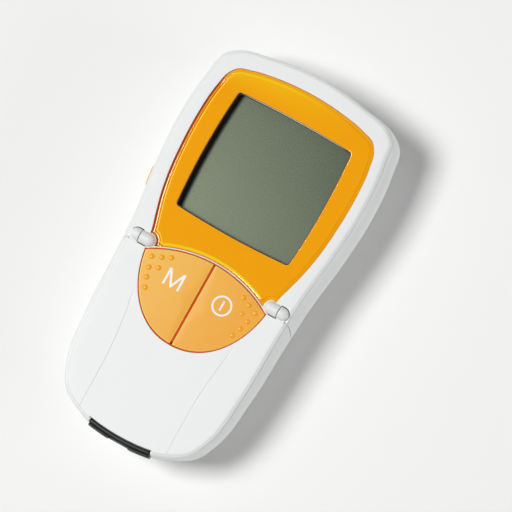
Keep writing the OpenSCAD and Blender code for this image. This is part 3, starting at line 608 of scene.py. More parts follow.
def withPaintedLight(made, tintAt):
    # gives each point the painted light and shade that the piece's material reads
    points = np.array([v.co for v in made.data.vertices]) * perMetre
    tint = made.data.attributes.new("tint", "FLOAT", "POINT")
    tint.data.foreach_set("value", tintAt(points))
    return made


print("tools ready")


# finishes
class Sock:
    # a node's output, so that shader maths reads as plain expressions
    def __init__(self, nodeTree, output):
        self.nodeTree, self.output = nodeTree, output

    def maths(self, operation, a, b):
        return self.nodeTree.add("ShaderNodeMath", {"operation": operation}, {0: a, 1: b})

    def __add__(self, other):
        return self.maths("ADD", self, other)

    def __radd__(self, other):
        return self.maths("ADD", other, self)

    def __sub__(self, other):
        return self.maths("SUBTRACT", self, other)

    def __rsub__(self, other):
        return self.maths("SUBTRACT", other, self)

    def __mul__(self, other):
        return self.maths("MULTIPLY", self, other)

    def __rmul__(self, other):
        return self.maths("MULTIPLY", other, self)

    def __truediv__(self, other):
        return self.maths("DIVIDE", self, other)

    def __rtruediv__(self, other):
        return self.maths("DIVIDE", other, self)


def colour(red, green, blue):
    # from the 0 to 255 of a picture to the light that a shader takes
    def one(c):
        c /= 255
        return c / 12.92 if c <= 0.04045 else ((c + 0.055) / 1.055) ** 2.4
    return (one(red), one(green), one(blue), 1)


class NodeTree:
    # the nodes of a material or of the world; numbers on them are set, what varies is linked
    def __init__(self, owner, shader):
        owner.use_nodes = True
        self.tree = owner.node_tree
        self.shader = self.tree.nodes[shader]

    def add(self, kind, settings=None, values=None, out=0):
        node = self.tree.nodes.new(kind)
        for name, value in (settings or {}).items():
            setattr(node, name, value)
        for socket, value in (values or {}).items():
            self.feed(node.inputs[socket], value)
        return Sock(self, node.outputs[out])

    def feed(self, socket, value):
        if isinstance(value, Sock):
            self.tree.links.new(value.output, socket)
        else:
            socket.default_value = value

    def set(self, socket, value):
        self.feed(self.shader.inputs[socket], value)

    def limited(self, value):
        return self.add("ShaderNodeClamp", None, {0: value})


class Finish(NodeTree):
    # a material round one Principled shader
    def __init__(self, name, slot, **values):
        self.slot = slot
        self.material = bpy.data.materials.new(name)
        super().__init__(self.material, "Principled BSDF")
        self.place = self.add("ShaderNodeTexCoord", out="Object")
        for socket, value in values.items():
            self.set(socket.replace("_", " "), value)

    def sourceOf(self, socket):
        return Sock(self, self.shader.inputs[socket].links[0].from_socket)

    def noise(self, size, detail=2.0, rough=0.5, stretch=None, seed=0.0):
        # size is that of the blotches, in millimetres
        at = self.place
        if stretch or seed:
            at = self.add("ShaderNodeMapping", None, {0: self.place, 1: (seed, seed * 0.7, seed * 1.3),
                                                      3: stretch or (1, 1, 1)})
        return self.add("ShaderNodeTexNoise", None, {
            "Vector": at, "Scale": perMetre / size, "Detail": detail, "Roughness": rough})

    def part(self, axis):
        # one coordinate, in metres
        return self.add("ShaderNodeSeparateXYZ", None, {0: self.place}, out=axis)

    def blend(self, mask, a, b):
        return self.add("ShaderNodeMix", {"data_type": "RGBA"}, {0: mask, 6: a, 7: b}, out=2)

    def bump(self, height, depth, strength=1.0):
        # depth in millimetres
        made = self.add("ShaderNodeBump", None, {
            "Height": height, "Distance": depth / perMetre, "Strength": strength})
        self.set("Normal", made)


def moulded(name, slot, low, high, grain=0.22, depth=0.004, rough=0.42, vary=0.08, **values):
    # moulded plastic: faint cloudy colour, spark-eroded grain and an uneven satin gloss
    made = Finish(name, slot, **values)
    cloud = made.noise(18, 3)
    fine = made.noise(grain, 3, 0.6)
    made.set("Base Color", made.blend(0.55 * cloud + 0.45 * ((fine - 0.5) * 2.5 + 0.5), low, high))
    made.set("Roughness", rough - vary / 2 + vary * made.noise(4, 4, 0.6, seed=0.3))
    made.bump(fine, depth)
    return made


casingWhite = moulded("casing_white", "casing_white", colour(229, 231, 230), colour(237, 239, 238))
innerWhite = moulded("inner_white", "white_inner", colour(222, 222, 218), colour(230, 230, 226), rough=0.55)
bezelOrange = moulded("bezel_orange", "bezel_orange", colour(250, 164, 2), colour(255, 174, 4),
                      grain=0.5, depth=0.0006, rough=0.3, vary=0.04, Specular_IOR_Level=0.0,
                      Coat_Weight=1.0, Coat_Roughness=0.07, Coat_IOR=1.7)
# painted highlight and shade on the clear orange plastic: pale yellow on its rounded shoulders, deep red in
# its hollows and along its outer edge
bezelPaintedLight = bezelOrange.add("ShaderNodeAttribute", {"attribute_name": "tint"}, out="Fac")
bezelPlain = bezelOrange.sourceOf("Base Color")
bezelPaintedHighlight = bezelOrange.blend(bezelOrange.limited(bezelPaintedLight), bezelPlain, colour(255, 212, 22))
bezelPaintedShade = bezelOrange.blend(bezelOrange.limited(-1 * bezelPaintedLight), bezelPaintedHighlight, colour(222, 98, 4))
bezelOrange.set("Base Color", bezelPaintedShade)
keyOrange = moulded("key_orange", "key_orange", colour(240, 180, 62), colour(247, 192, 84),
                    grain=0.45, depth=0.005, rough=0.38, vary=0.1, Specular_IOR_Level=0.3)
# painted highlight: the soft caps are paler along their rounded edges
keyPaintedHighlight = keyOrange.add("ShaderNodeAttribute", {"attribute_name": "tint"}, out="Fac")
# and grow deeper in colour towards the right and the strip end, over this width in millimetres
keyTone = {"over": 44, "middle": 0.4, "lean": 0.5}
keyPlace = keyOrange.part(0) - keyTone["lean"] * keyOrange.part(1)
keyAcross = keyOrange.limited(keyTone["middle"] + (perMetre / keyTone["over"]) * keyPlace)
keyPlain = keyOrange.blend(keyAcross, keyOrange.sourceOf("Base Color"), colour(240, 166, 30))
keyOrange.set("Base Color", keyOrange.blend(0.75 * keyPaintedHighlight, keyPlain, colour(255, 226, 120)))
gripOrange = moulded("grip_orange", "key_orange", colour(248, 168, 26), colour(254, 180, 40),
                     grain=0.45, depth=0.002, rough=0.28, vary=0.06, Specular_IOR_Level=0.6)
guideBlack = moulded("guide_black", "black_plastic", colour(26, 30, 30), colour(38, 43, 42),
                     grain=0.3, depth=0.005, rough=0.38)
sealRed = moulded("seal_red", "silicone_grey", colour(212, 60, 8), colour(226, 74, 12),
                  grain=0.3, depth=0.004, rough=0.6, Specular_IOR_Level=0.2)
footGrey = moulded("foot_grey", "foot_rubber", colour(120, 122, 122), colour(140, 142, 142),
                   grain=0.4, depth=0.01, rough=0.75)
markWhite = moulded("mark_white", "casing_white", colour(236, 236, 240), colour(244, 244, 247),
                    grain=0.2, depth=0.002, rough=0.4)
zebraGrey = moulded("zebra_grey", "zebra_rubber", colour(96, 98, 100), colour(116, 118, 120),
                    rough=0.7)
chipBlack = moulded("chip_black", "chip_black", colour(30, 30, 33), colour(44, 44, 47),
                    depth=0.006, rough=0.5)
ledClear = moulded("led_clear", "led_clear", colour(214, 206, 168), colour(228, 222, 190), rough=0.15)
filterRed = moulded("filter_red", "ir_red", colour(52, 8, 12), colour(70, 12, 16), depth=0.0005, rough=0.1)

lens = Finish("clear_lens", "clear_lens", Base_Color=(0.01, 0.012, 0.01, 1), Roughness=0.03, IOR=1.49)
lens.set("Alpha", 0.08 + 0.02 * lens.noise(30, 2))

# painted highlight: a pale opaque finish for the strip along the window's upper edge
lensHighlightPaint = moulded("lens_end", "clear_lens", colour(168, 184, 176), colour(192, 204, 198),
                   grain=0.5, depth=0.001, rough=0.2)
glass = Finish("chamber_glass", "chamber_glass", Base_Color=colour(190, 214, 220), Roughness=0.05, IOR=1.5)
glass.set("Alpha", 0.35 + 0.03 * glass.noise(12, 2))

lcd = Finish("lcd_green", "lcd_green", Specular_IOR_Level=0.3, Roughness=0.4)
lcdLook = {
    "ledge": 2.5, "ledgeEdge": 1.2,  # painted shadow along the cell's left edge, where the bezel's window wall shades it
    "grain": 0.5, "contrast": 1.6,
    "middle": 0.46, "across": 0.2, "along": 0.24,  # it grows darker to the right and upwards
}
lcdGrain = (lcd.noise(lcdLook["grain"], 2, 0.6) - 0.5) * lcdLook["contrast"]
lcdX = lcd.part(0) * perMetre
lcdY = lcd.part(1) * perMetre - windowY
lcdFall = (lcdLook["across"] / lensHigh[0]) * lcdX + (lcdLook["along"] / lensHigh[0]) * lcdY
lcdTone = lcdLook["middle"] - lcdFall + 0.5 * lcdGrain
lcdGreen = lcd.blend(lcd.limited(lcdTone), colour(101, 113, 90), colour(160, 173, 144))
lcdBow = lcdY * lcdY * (bezel["bow"] / lensHigh[0] ** 2)
# painted shadow: near black along the cell's left edge, following the window's bow
lcdPaintedShadow = lcd.limited((lensLow[0] + lcdLook["ledge"] + lcdBow - lcdX) / lcdLook["ledgeEdge"])
lcd.set("Base Color", lcd.blend(lcdPaintedShadow, lcdGreen, colour(34, 30, 26)))
lcd.bump(lcdGrain, 0.003)

board = Finish("board_green", "board_green", Roughness=0.35)
tracks = board.add("ShaderNodeTexBrick", {"offset": 0.37}, {
    "Vector": board.place, "Scale": 240.0, "Mortar Size": 0.05, "Color1": colour(22, 84, 46),
    "Color2": colour(18, 72, 40), "Mortar": colour(34, 104, 58)})
board.set("Base Color", board.blend(board.noise(6, 3) * 0.3, tracks, colour(14, 60, 34)))
board.bump(board.noise(1.2, 2), 0.01)

steel = Finish("bright_metal", "bright_metal", Metallic=1.0)
brushed = steel.noise(0.4, 3, 0.6, stretch=(1, 6, 1))
steel.set("Base Color", steel.blend(brushed, colour(196, 196, 192), colour(214, 214, 210)))
steel.set("Roughness", 0.22 + 0.14 * brushed)

sleeve = moulded("battery_sleeve", "battery_sleeve", colour(58, 84, 122), colour(66, 94, 134),
                 grain=0.6, depth=0.002, rough=0.25)
print("finishes ready")

# front housing: plate, side wall, rib, bezel seat, deck, key carrier, bosses and inner knuckles
front = {
    "ribHeight": 0.05, "ribHalf": 24.7, "seat": 1.4, "seatIn": 1.6, "deck": 1.6, "channel": 0.3,
    "carrier": 1.2, "islandIn": 1.3, "islandWall": 1.2, "screwRadius": 1.05, "bossBelow": 0.5,
    "webHalf": 1.5, "deckPast": 6, "channelPast": 5, "fit": 0.1,
}
slot = {"width": 8.4, "height": 1.2, "lift": 0.3}
deckZ = beltZ + front["deck"]
matZ = matLow[2]
halfSeam = casing["seamGap"] / 2
seamY = hingeY - knuckle["radius"] - halfSeam
ledgeZ = caseZ - casing["stepHeight"]
plateReach = reach(roundEdge(casing["edge"]))
rightHalf = halfCurve(knotCount)


def wayTo(y):
    return np.interp(-np.asarray(y, float), -rightHalf[:, 1], walked)


def seamAt(height, gap):
    # height as a share, from the widest line to the step round the top face
    return seamY + gap - casing["seamLean"] * (1 - clamped(height))


def bandProfile(lift):
    # closed section of the side wall: share of the flare, depth, share of the height, rise
    full, curve = 0.88, 2.6  # the wall takes up most of the flare, and most of that near its top
    outer = [[full * t ** curve, 0, t, lift * (1 - t)] for t in np.linspace(0.04, 0.96, 14)]
    inner = [[full * t ** curve, casing["wall"], t, lift * (1 - t)] for t in np.linspace(1, 0, 8)]
    foot = [[0, 0.16, 0, lift], [0, 0.04, 0, lift + 0.04], [0, 0, 0, lift + 0.16]]
    step = [[full, 0, 1, -0.2], [full, 0.06, 1, -0.06], [0.89, 0.1, 1, 0], [0.94, 0.06, 1, 0.05],
            [0.98, 0.03, 1, 0.2], [1, 0.02, 1, 0.45], [1, 0.04, 1, 0.7], [1, 0.8, 1, 0.7]]
    return np.array(foot + outer[1:] + step + inner)


def band(lift, starts, ends, count, edge=0.08):
    profile = bandProfile(lift)
    share, depth, height, rise = profile.T
    flat = np.stack([depth + share * casing["flareDisplay"], height * (ledgeZ - beltZ) + rise], -1)
    way = unit(np.roll(flat, -1, 0) - np.roll(flat, 1, 0))
    inward = np.stack([way[:, 1], -way[:, 0]], -1)
    starts, ends = starts(height), ends(height)
    turn = np.radians([0, 30, 60, 90])
    rows = [(starts + edge * (1 - math.cos(t)), edge * (1 - math.sin(t))) for t in turn]
    rows += [(mixed(starts + edge, ends - edge, t), 0) for t in np.linspace(0, 1, count)[1:-1]]
    rows += [(ends - edge * (1 - math.cos(t)), edge * (1 - math.sin(t))) for t in turn[::-1]]
    made = []
    for s, shrink in rows:
        p = insetBelt(s, share, depth + shrink * inward[:, 0])
        z = mixed(beltZ, topZ(p[:, 1]) - casing["stepHeight"], height) + rise + shrink * inward[:, 1]
        made.append(np.column_stack([p, z]))
    return loft(np.array(made))


def offLine(loop, points):
    # distance from points to a closed outline
    best = np.full(len(points), 1e9)
    for a, b in zip(loop, np.roll(loop, -1, 0)):
        t = clamped(((points - a) @ (b - a)) / max((b - a) @ (b - a), 1e-12))
        best = np.minimum(best, np.linalg.norm(points - a - t[:, None] * (b - a), axis=1))
    return best


def inPocket(points, d):
    # room round the flap's knuckle and its arm
    x, y = np.abs(points[:, 0]), points[:, 1] - hingeY
    r = knuckle["radius"] + casing["seamGap"] + d
    middle = knuckleX - knuckle["radius"]
    box = (x > innerX1 - d) & (x < middle) & (np.abs(y) < r)
    arm = (x > innerX1 - d) & (x < knuckleX + casing["seamGap"] + d) & (y < 0)
    return box | arm | (np.hypot(x - middle, y) < r)


def pocketLines(d):
    r = knuckle["radius"] + casing["seamGap"] + d
    middle, x0 = knuckleX - knuckle["radius"], innerX1 - d
    x1 = knuckleX + casing["seamGap"] + d
    line = np.concatenate([[[x1, seamY - 3], [x1, hingeY]], arc((middle, hingeY), r, 0, 90, 25),
                           [[x0, hingeY + r], [x0, seamY - 3]]])
    return [line, line * [-1, 1]]


topRim = insetBelt(wholeBelt, 1, casing["plateIn"])
topOutline = insetBelt(wholeBelt, 1, casing["plateIn"] + plateReach)
browLoops = [insetBelt(wholeBelt, 1, casing["plateIn"] + d) for d in (0.5, 0.64, 0.8, 1.05)]
bezelNear = bezel["gap"] + plateReach
keysNear = keysOutline(keys["gap"] + plateReach)


def plateTop(p):
    # the top face rolls over towards the step round it
    r = casing["brow"]
    short = r - np.minimum(offLine(topRim, p), r)
    return topZ(p[:, 1]) - r + np.sqrt(np.maximum(r * r - short * short, 0))


def faceEdge(rim):
    # crisp beside the bezel and the buttons, softer elsewhere
    near = np.minimum(offLine(bezelOutline(bezelNear), rim), offLine(keysNear, rim))
    r = mixed(casing["innerEdge"], casing["edge"], clamped(near / 0.6 - 0.5))
    turn = np.linspace(0, math.pi / 2, 5)
    return [[np.full(len(rim), plateReach) - r * (1 - math.sin(t)), r * (1 - math.cos(t))] for t in turn]


def onFrontPlate(p):
    keep = inside(topOutline, p) & (p[:, 1] > seamY + halfSeam + plateReach) & ~inBezel(p, bezelNear)
    return keep & ~inside(keysNear, p) & ~inPocket(p, plateReach)


def tube(z0, z1, inner, outer, edge=0.12):
    return [[z0, inner], [z0, outer - edge], [z0 + edge, outer], [z1 - edge, outer], [z1, outer - edge],
            [z1, inner], [z0, inner]]


def makeFrontHousing():
    seam = seamY + halfSeam + plateReach
    top = plate([topOutline, bezelOutline(bezelNear), keysNear, *browLoops], onFrontPlate, plateTop,
                underFace, faceEdge,
                lines=[[[-farOut, seam], [farOut, seam]], *bezelCuts(bezelNear), *pocketLines(plateReach)])
    wall = band(0, lambda h: -wayTo(seamAt(h, halfSeam)), lambda h: wayTo(seamAt(h, halfSeam)), 260)
    wall = carved(carved(wall, setHole(casing["wall"])), irHole())
    shapes = [top, wall, rib(), bezelSeat(), *deckShapes(), *carrierShapes()]
    boss = tube(beltZ - casing["bossMeet"], deckZ - front["bossBelow"], front["screwRadius"],
                casing["bossRadius"])
    for x, y in screwPlaces:
        shapes.append(onBothSides(lathe(boss, (x, y, 0))))
    ball = barrel(domeX - knuckle["radius"], innerX1, knuckle["radius"], knuckle["edge"], dome=True)
    ball = [[innerX1 + domeX - knuckle["radius"] - along, r] for along, r in ball][::-1]
    shapes.append(onBothSides(lathe(ball, (0, hingeY, hingeZ), "x")))
    shapes.append(onBothSides(knuckleCollar()))
    web = slab(domeX - 1, innerX1, hingeY - front["webHalf"], hingeY + front["webHalf"], deckZ, hingeZ)
    shapes.append(onBothSides(web))
    return piece("front_shell", shapes, casingWhite, "housing", "front_housing")


collar = {"inside": 0.02, "outside": 0.05, "below": 0.06, "edge": 0.1}


def knuckleCollar():
    # thin white wall between the inner knuckle and the bezel's notch
    r0, r1 = knuckle["radius"] + collar["inside"], notchRadius - collar["outside"]
    turned = roundEdge(collar["edge"], 0.02, 3)
    e = reach(turned)
    box = rectangle(domeX - 6, domeX + 1, hingeY - 6, hingeY + 6)

    def onCollar(p):
        away = np.hypot(p[:, 0] - domeX, p[:, 1] - hingeY)
        return (away > r0 + e) & (away < r1 - e) & (p[:, 0] < domeX - e)
    lines = [arc((domeX, hingeY), r1 - e, 80, 280, 41), arc((domeX, hingeY), r0 + e, 80, 280, 41),
             [[domeX - e, hingeY - 5], [domeX - e, hingeY + 5]]]
    return plate([box], onCollar, caseZ - collar["below"], bezelFloor - 1, turned, lines=lines)


def rib():
    # thin rib between the bezel and the buttons
    half = math.asin(front["ribHalf"] / archRadius)
    r0 = archRadius + keys["gap"]
    r1 = r0 + bezel["rib"]
    r = (r1 - r0) / 2
    crown = arc(((r0 + r1) / 2, caseZ - r + front["ribHeight"]), r, 0, 180, 11)
    section = np.array([[r0, bezelFloor - 1], [r1, bezelFloor - 1], *crown])
    rows = []
    for a in np.linspace(-half, half, 161):
        rows.append([[math.sin(a) * s, archY + math.cos(a) * s, z] for s, z in section])
    return loft(np.array(rows))


def bezelSeat():
    d = front["seatIn"] - 0.02
    hole = windowOutline(1.3)
    return plate([bezelOutline(d), hole], lambda p: inBezel(p, d) & ~inside(hole, p), bezelFloor,
                 bezelFloor - front["seat"], [[0.02, 0]], lines=bezelCuts(d))


def deckShapes():
    turned, e = fineEdge, reach(fineEdge)
    outer = insetBelt(wholeBelt, 0, casing["wall"] + casing["seamGap"] + e)
    hole = keysOutline(-front["islandIn"] - front["islandWall"] + e)
    room = front["fit"] + e
    window = rectangle(glassLow[0] - room, glassHigh[0] + room, glassLow[1] - room, glassHigh[1] + room)
    far = seamY + front["deckPast"]
    channelX, channelY = slot["width"] / 2 + e, glassHigh[1] + front["channelPast"] + e
    channel = rectangle(-channelX, channelX, toeY - 5, channelY)

    def onDeck(p):
        return within(outer, hole, window)(p) & (p[:, 1] < far)
    ends = [[[-farOut, far], [farOut, far]]]
    lower = plate([outer, hole, window], onDeck, deckZ - front["channel"], beltZ, [[e, 0]], lines=ends)
    upper = plate([outer, hole, window, channel], lambda p: onDeck(p) & ~inside(channel, p), deckZ,
                  beltZ + 0.5, turned, lines=ends)
    return [lower, upper]


def plungerHoles(room):
    return [circle((s * keys["plungerX"], plungerY), keys["plungerRadius"] + room) for s in (-1, 1)]


def carrierShapes():
    turned, e = fineEdge, reach(fineEdge)
    outer = keysOutline(-front["islandIn"] - e)
    inner = keysOutline(-front["islandIn"] - front["islandWall"] + e)
    holes = plungerHoles(front["fit"] + e)
    ring = plate([outer, inner], within(outer, inner), matZ - 0.5, beltZ, turned)
    cap = plate([outer, *holes], within(outer, *holes), matZ, matZ - front["carrier"], turned)
    return [ring, cap]


# the setting button's own frame: along the wall, up, and out of it
setKey = {"length": 8.2, "height": 4.6, "proud": 0.5, "gap": 0.25, "flange": 0.8, "fromHinge": 21.6,
          "under": 0.3, "edge": 0.5, "brim": [1.8, 1.2], "brimIn": 0.8,
          "stem": [-1.2, 1.2, -1.4, 0.2], "stemLong": 1.3,
          "leanOver": 4}  # the wall's lean there is taken over this far each way
setY = hingeY + setKey["fromHinge"]
setLean = math.atan(float(beltHalf(setY + setKey["leanOver"]) - beltHalf(setY - setKey["leanOver"]))
                    / (2 * setKey["leanOver"]))
setOrigin = np.array([-float(beltHalf(setY)), setY, beltZ - setKey["under"]])
flangeDepth = casing["rearWall"] + setKey["brimIn"]


def toSetFrame(shape):
    points, faces = shape
    v, w, out = points.T
    c, s = math.cos(setLean), math.sin(setLean)
    return setOrigin + np.column_stack([-out * c - v * s, -out * s + v * c, w]), faces


def stadium(length, height, d=0.0):
    r, x = height / 2, (length - height) / 2
    return np.concatenate([arc((x, 0), r + d, -90, 90, 25), arc((-x, 0), r + d, 90, 270, 25)])


def setHole(wall):
    # what the button's hole takes out of a wall
    loop = stadium(setKey["length"], setKey["height"], setKey["gap"] - 0.02)
    return toSetFrame(plate([loop], within(loop), 3, -wall - 2.5, [[0.02, 0]]))


irLow, irHigh = nodeBox("infrared_window")


def irHole():
    room = front["fit"]
    return slab(irLow[0] - room, irHigh[0] + room, topY - 4, topY + 4, irLow[2] - room, irHigh[2] + room)


makeFrontHousing()
print("front housing")


# the flap with its arms, knuckles and the seat of the light shield
flap = {
    "lift": 0.2, "mouthFromEnd": 2.2, "mouthRadius": 80,
    "grooveX": 18.55, "grooveSpread": 2.55, "grooveBend": 21.3, "grooveLong": 27, "grooveEnd": 52.3,
    "grooveFade": 8, "grooveDepth": 0.16, "grooveWidth": 0.55,
    "armIn": 0.4, "armPast": 1.5, "armBelow": 0.3, "seatWall": 1.5, "seatBelow": 1.2, "cupBelow": 1,
}
mouthY = toeY + flap["mouthFromEnd"]
mouthX = guideHigh[0] + casing["seamGap"]


def grooveAt(y):
    # the two faint grooves run straight from the strip end, then spread
    away = np.maximum(0, (y - toeY - flap["grooveBend"]) / flap["grooveLong"])
    return flap["grooveX"] + flap["grooveSpread"] * away ** 1.8


def flapTop(p):
    near = 1 - np.abs(np.abs(p[:, 0]) - grooveAt(p[:, 1])) / (flap["grooveWidth"] / 2)
    fade = clamped((toeY + flap["grooveEnd"] - p[:, 1]) / flap["grooveFade"])
    return plateTop(p) - flap["grooveDepth"] * clamped(near * 1.6) * fade


def makeFlap():
    e = plateReach
    keysHole = keysOutline(keys["gap"] + 0.1 + e)
    seam = seamY - halfSeam - e
    mouthHalf = mouthX + e
    mouthR = flap["mouthRadius"] - e
    centre = (0, mouthY + flap["mouthRadius"])
    half = math.degrees(math.asin((mouthHalf + 2) / mouthR))
    mouth = arc(centre, mouthR, 270 - half, 270 + half, 61)

    def onFlap(p):
        x, y = np.abs(p[:, 0]), p[:, 1]
        mouthCut = (x < mouthHalf) & (np.hypot(x, y - centre[1]) > mouthR)
        return inside(topOutline, p) & (y < seam) & ~inside(keysHole, p) & ~mouthCut
    lines = [[[-farOut, seam], [farOut, seam]], mouth]
    lines += [[[x, toeY - 9], [x, toeY + 9]] for x in (mouthHalf, -mouthHalf)]
    y = np.linspace(toeY - 2, toeY + flap["grooveEnd"], 60)
    for side in (-1, 1):
        for off in (-0.5, -0.25, 0, 0.25, 0.5):
            lines.append(np.stack([side * (grooveAt(y) + off * flap["grooveWidth"]), y], -1))
    spots = [(x, y) for y in np.arange(toeY + 2, seam, 2.5) for x in np.arange(-34, 34.1, 4)]
    top = plate([topOutline, keysHole, *browLoops], onFlap, flapTop, underFace, faceEdge,
                spots=spots, lines=lines)
    bottom = rightHalf[:, 1] < toeY + 9
    wayMouth = float(np.interp(-mouthX, -rightHalf[bottom, 0], walked[bottom]))
    wall = band(flap["lift"], lambda h: wayTo(seamAt(h, -halfSeam)), lambda h: np.full(len(h), wayMouth), 110)
    arm = slab(outerX0, knuckleX - flap["armIn"], seamY - flap["armPast"], hingeY, caseZ - casing["plate"],
               hingeZ - flap["armBelow"])
    ball = lathe(barrel(outerX0, knuckleX, knuckle["radius"], knuckle["edge"], dome=True),
                 (0, hingeY, hingeZ), "x")
    shapes = [top, onBothSides(wall), onBothSides(arm), onBothSides(ball), shieldSeat()]
    x, y = (magnetLow[:2] + magnetHigh[:2]) / 2
    r = (magnetHigh[0] - magnetLow[0]) / 2
    cup = tube(magnetLow[2], topZ(y) - flap["cupBelow"], r + 0.05, r + 1)
    shapes.append(lathe(cup, (x, y, 0)))
    return piece("flap_shell", shapes, casingWhite, "measuring_flap", "measuring_flap")


def shieldSeat():
    turned, e = fineEdge, reach(fineEdge)
    outer, inner = (rectangle(shieldLow[0] + d, shieldHigh[0] - d, shieldLow[1] + d, shieldHigh[1] - d)
                    for d in (e, flap["seatWall"] - e))
    return upsideDown(plate([outer, inner], within(outer, inner), -shieldHigh[2],
                            lambda p: -(topZ(p[:, 1]) - flap["seatBelow"]), turned))


makeFlap()
print("flap")


# the bezel: its height and its painted shade and highlight follow the distance from its edges
def bezelEdges(p):
    # drop below the face, and painted shade (-) or painted highlight (+)
    x, y = np.abs(p[:, 0]), p[:, 1] - hingeY
    notch = np.where(x < domeX, np.hypot(x - domeX, y), np.abs(y)) - notchRadius
    side = offLine(bezelSide, p) * np.where(inside(bezelSide, p), 1, -1)
    arch = np.hypot(p[:, 0], p[:, 1] - archY) - archEdge

    def profile(name, away):
        at, drop, tint = np.array(bezel[name]).T
        return np.stack([np.interp(away, at, drop), np.interp(away, at, tint)])
    # the left side, which faces the lamp, takes the side profile with the strongest painted shade and
    # highlight
    leftFrom, leftFull = bezel["fade"]
    below, over = bezel["fadeTop"]
    towardsLeft = clamped((-p[:, 0] - leftFrom) / (leftFull - leftFrom))
    towardsLeft = towardsLeft * clamped((bezelTopY - below - p[:, 1]) / over)
    below, over = bezel["topFade"]
    ends, across = bezel["topEnd"]
    towardsTop = clamped((p[:, 1] - bezelTopY + below) / over) * clamped((ends - p[:, 0]) / across)
    edge = mixed(profile("far", np.minimum(side, notch)), profile("top", side), towardsTop)
    edge = mixed(edge, profile("side", np.minimum(side, notch)), towardsLeft ** 2 * (3 - 2 * towardsLeft))
    drop, tint = profile("arch", arch)
    return np.maximum(edge[0], drop), np.where(drop > edge[0], tint, edge[1])


def bezelTopAt(p):
    edge = bezel["windowEdge"]
    near = np.minimum(offLine(windowOutline(0), p), edge)
    rounded = edge - np.sqrt(np.maximum(edge ** 2 - (edge - near) ** 2, 0))
    return caseZ - bezelEdges(p)[0] - rounded


def makeBezel():
    first = 0.04
    grow = bezel["grow"]
    sideLevels = [-grow] + [away for away, *_ in bezel["side"] if away > -grow]
    archLevels = [-grow] + [away for away, *_ in bezel["arch"] if away > -grow]
    loops = [bezelOutline(-u) for u in sideLevels]
    loops += [windowOutline(u) for u in (0.04, 0.1, 0.18, 0.26, bezel["windowEdge"], 0.45)]
    lines = [cut for u in archLevels for cut in bezelCuts(-u)[:1]]
    lines += [cut for u in sideLevels for cut in bezelCuts(-u)[1:]]
    window = windowOutline(first)
    top = plate(loops, lambda p: inBezel(p, grow) & ~inside(window, p), bezelTopAt, bezelFloor,
                [[first, 0.08]], lines=lines)
    made = piece("bezel_plate", [top], bezelOrange, "housing", "display_bezel", sharp=20)
    return withPaintedLight(made, lambda p: bezelEdges(p[:, :2])[1])


makeBezel()


lensHighlight = {"width": 0.34, "rise": 0.12, "gap": 0.08, "share": 0.86}  # share of the window's width


def makeLensHighlight():
    # a pale strip along the window's upper edge: the painted highlight of the lens's far end
    t = np.linspace(-lensHighlight["share"], lensHighlight["share"], 41)
    line = windowOutline(-lensHighlight["width"] / 2 - lensHighlight["gap"])
    upper = line[line[:, 1] > windowY + windowLength * 0.4]
    upper = upper[np.argsort(upper[:, 0])]
    x = t * windowWidth / 2
    y = np.interp(x, upper[:, 0], upper[:, 1])
    half = lensHighlight["width"] / 2 * np.sqrt(1.02 - (t / lensHighlight["share"]) ** 4)
    rows = []
    for turn in np.radians(np.arange(0, 360, 30)):
        z = lensHigh[2] + lensHighlight["rise"] * math.sin(turn)
        rows.append(np.column_stack([x, y + half * math.cos(turn), np.full(len(x), z)]))
    end = loft(np.stack(rows, 1))
    return piece("lens_end", [end], lensHighlightPaint, "housing")


makeLensHighlight()
print("bezel")


# buttons: hollow caps with plungers, grip dots and white marks
def makeKey(side, name, body):
    e = keys["edge"] + 0.1
    outline = keysOutline(-e)
    split = keys["split"] / 2 + e
    turned = roundEdge(keys["edge"], 0.1, 5)

    def onKey(p):
        return inside(outline, p) & (side * p[:, 0] > split)
    low, under = matZ - 1.5, caseZ - keys["top"]
    spots = [(side * x, y) for x in np.arange(3, 24, 3) for y in np.arange(keysLowY + 2, keysCornerY + 7, 3)]
    middle = [[side * split, -farOut], [side * split, 20]]
    cap = plate([outline], onKey, faceTop, low, turned, spots=spots, lines=[middle],
                skirt=[(-keys["wall"], low), (-keys["wall"], under)])
    shapes = [cap, lathe(barrel(keyLow[2], under + 0.3, keys["plungerRadius"]),
                         (side * keys["plungerX"], plungerY, 0))]
    h, r = keys["dotHeight"], keys["dotRadius"]
    ball = (r * r + h * h) / (2 * h)
    turn = np.linspace(math.asin(r / ball), 0, 9)
    dome = [[-0.4, 0], [-0.4, r]] + [[h - ball + ball * math.cos(t), ball * math.sin(t)] for t in turn]
    for x, y in keys["dots"]:
        place = keysCornerY + y
        shapes.append((*lathe(dome, (side * x, place, float(topZ(place))), turns=32), gripOrange))

    def paintedHighlightAt(p):
        # painted highlight, pale where the rounded edge falls away
        below = topZ(p[:, 1]) - p[:, 2]
        return clamped(below / 0.03) * clamped((keys["edge"] - below) / 0.2)
    return withPaintedLight(piece(name + "_cap", shapes, keyOrange, body, name, sharp=40), paintedHighlightAt)


marks = {"proud": 0.03, "stroke": 0.74, "letterX": [-13.9, -7.1], "letterY": [-17.5, -11],
         "ringX": 9.9, "ringY": -14.3, "ringRadius": 3.85, "ringStroke": 0.62, "barLength": 3.7}


def raised(loops, keep, name, body):
    # a mark just proud of the cap
    mark = plate(loops, keep, lambda p: faceTop(p) + marks["proud"], lambda p: faceTop(p) - 0.1,
                 roundEdge(0.02, 0.02, 2))
    return piece(name, [mark], markWhite, body)


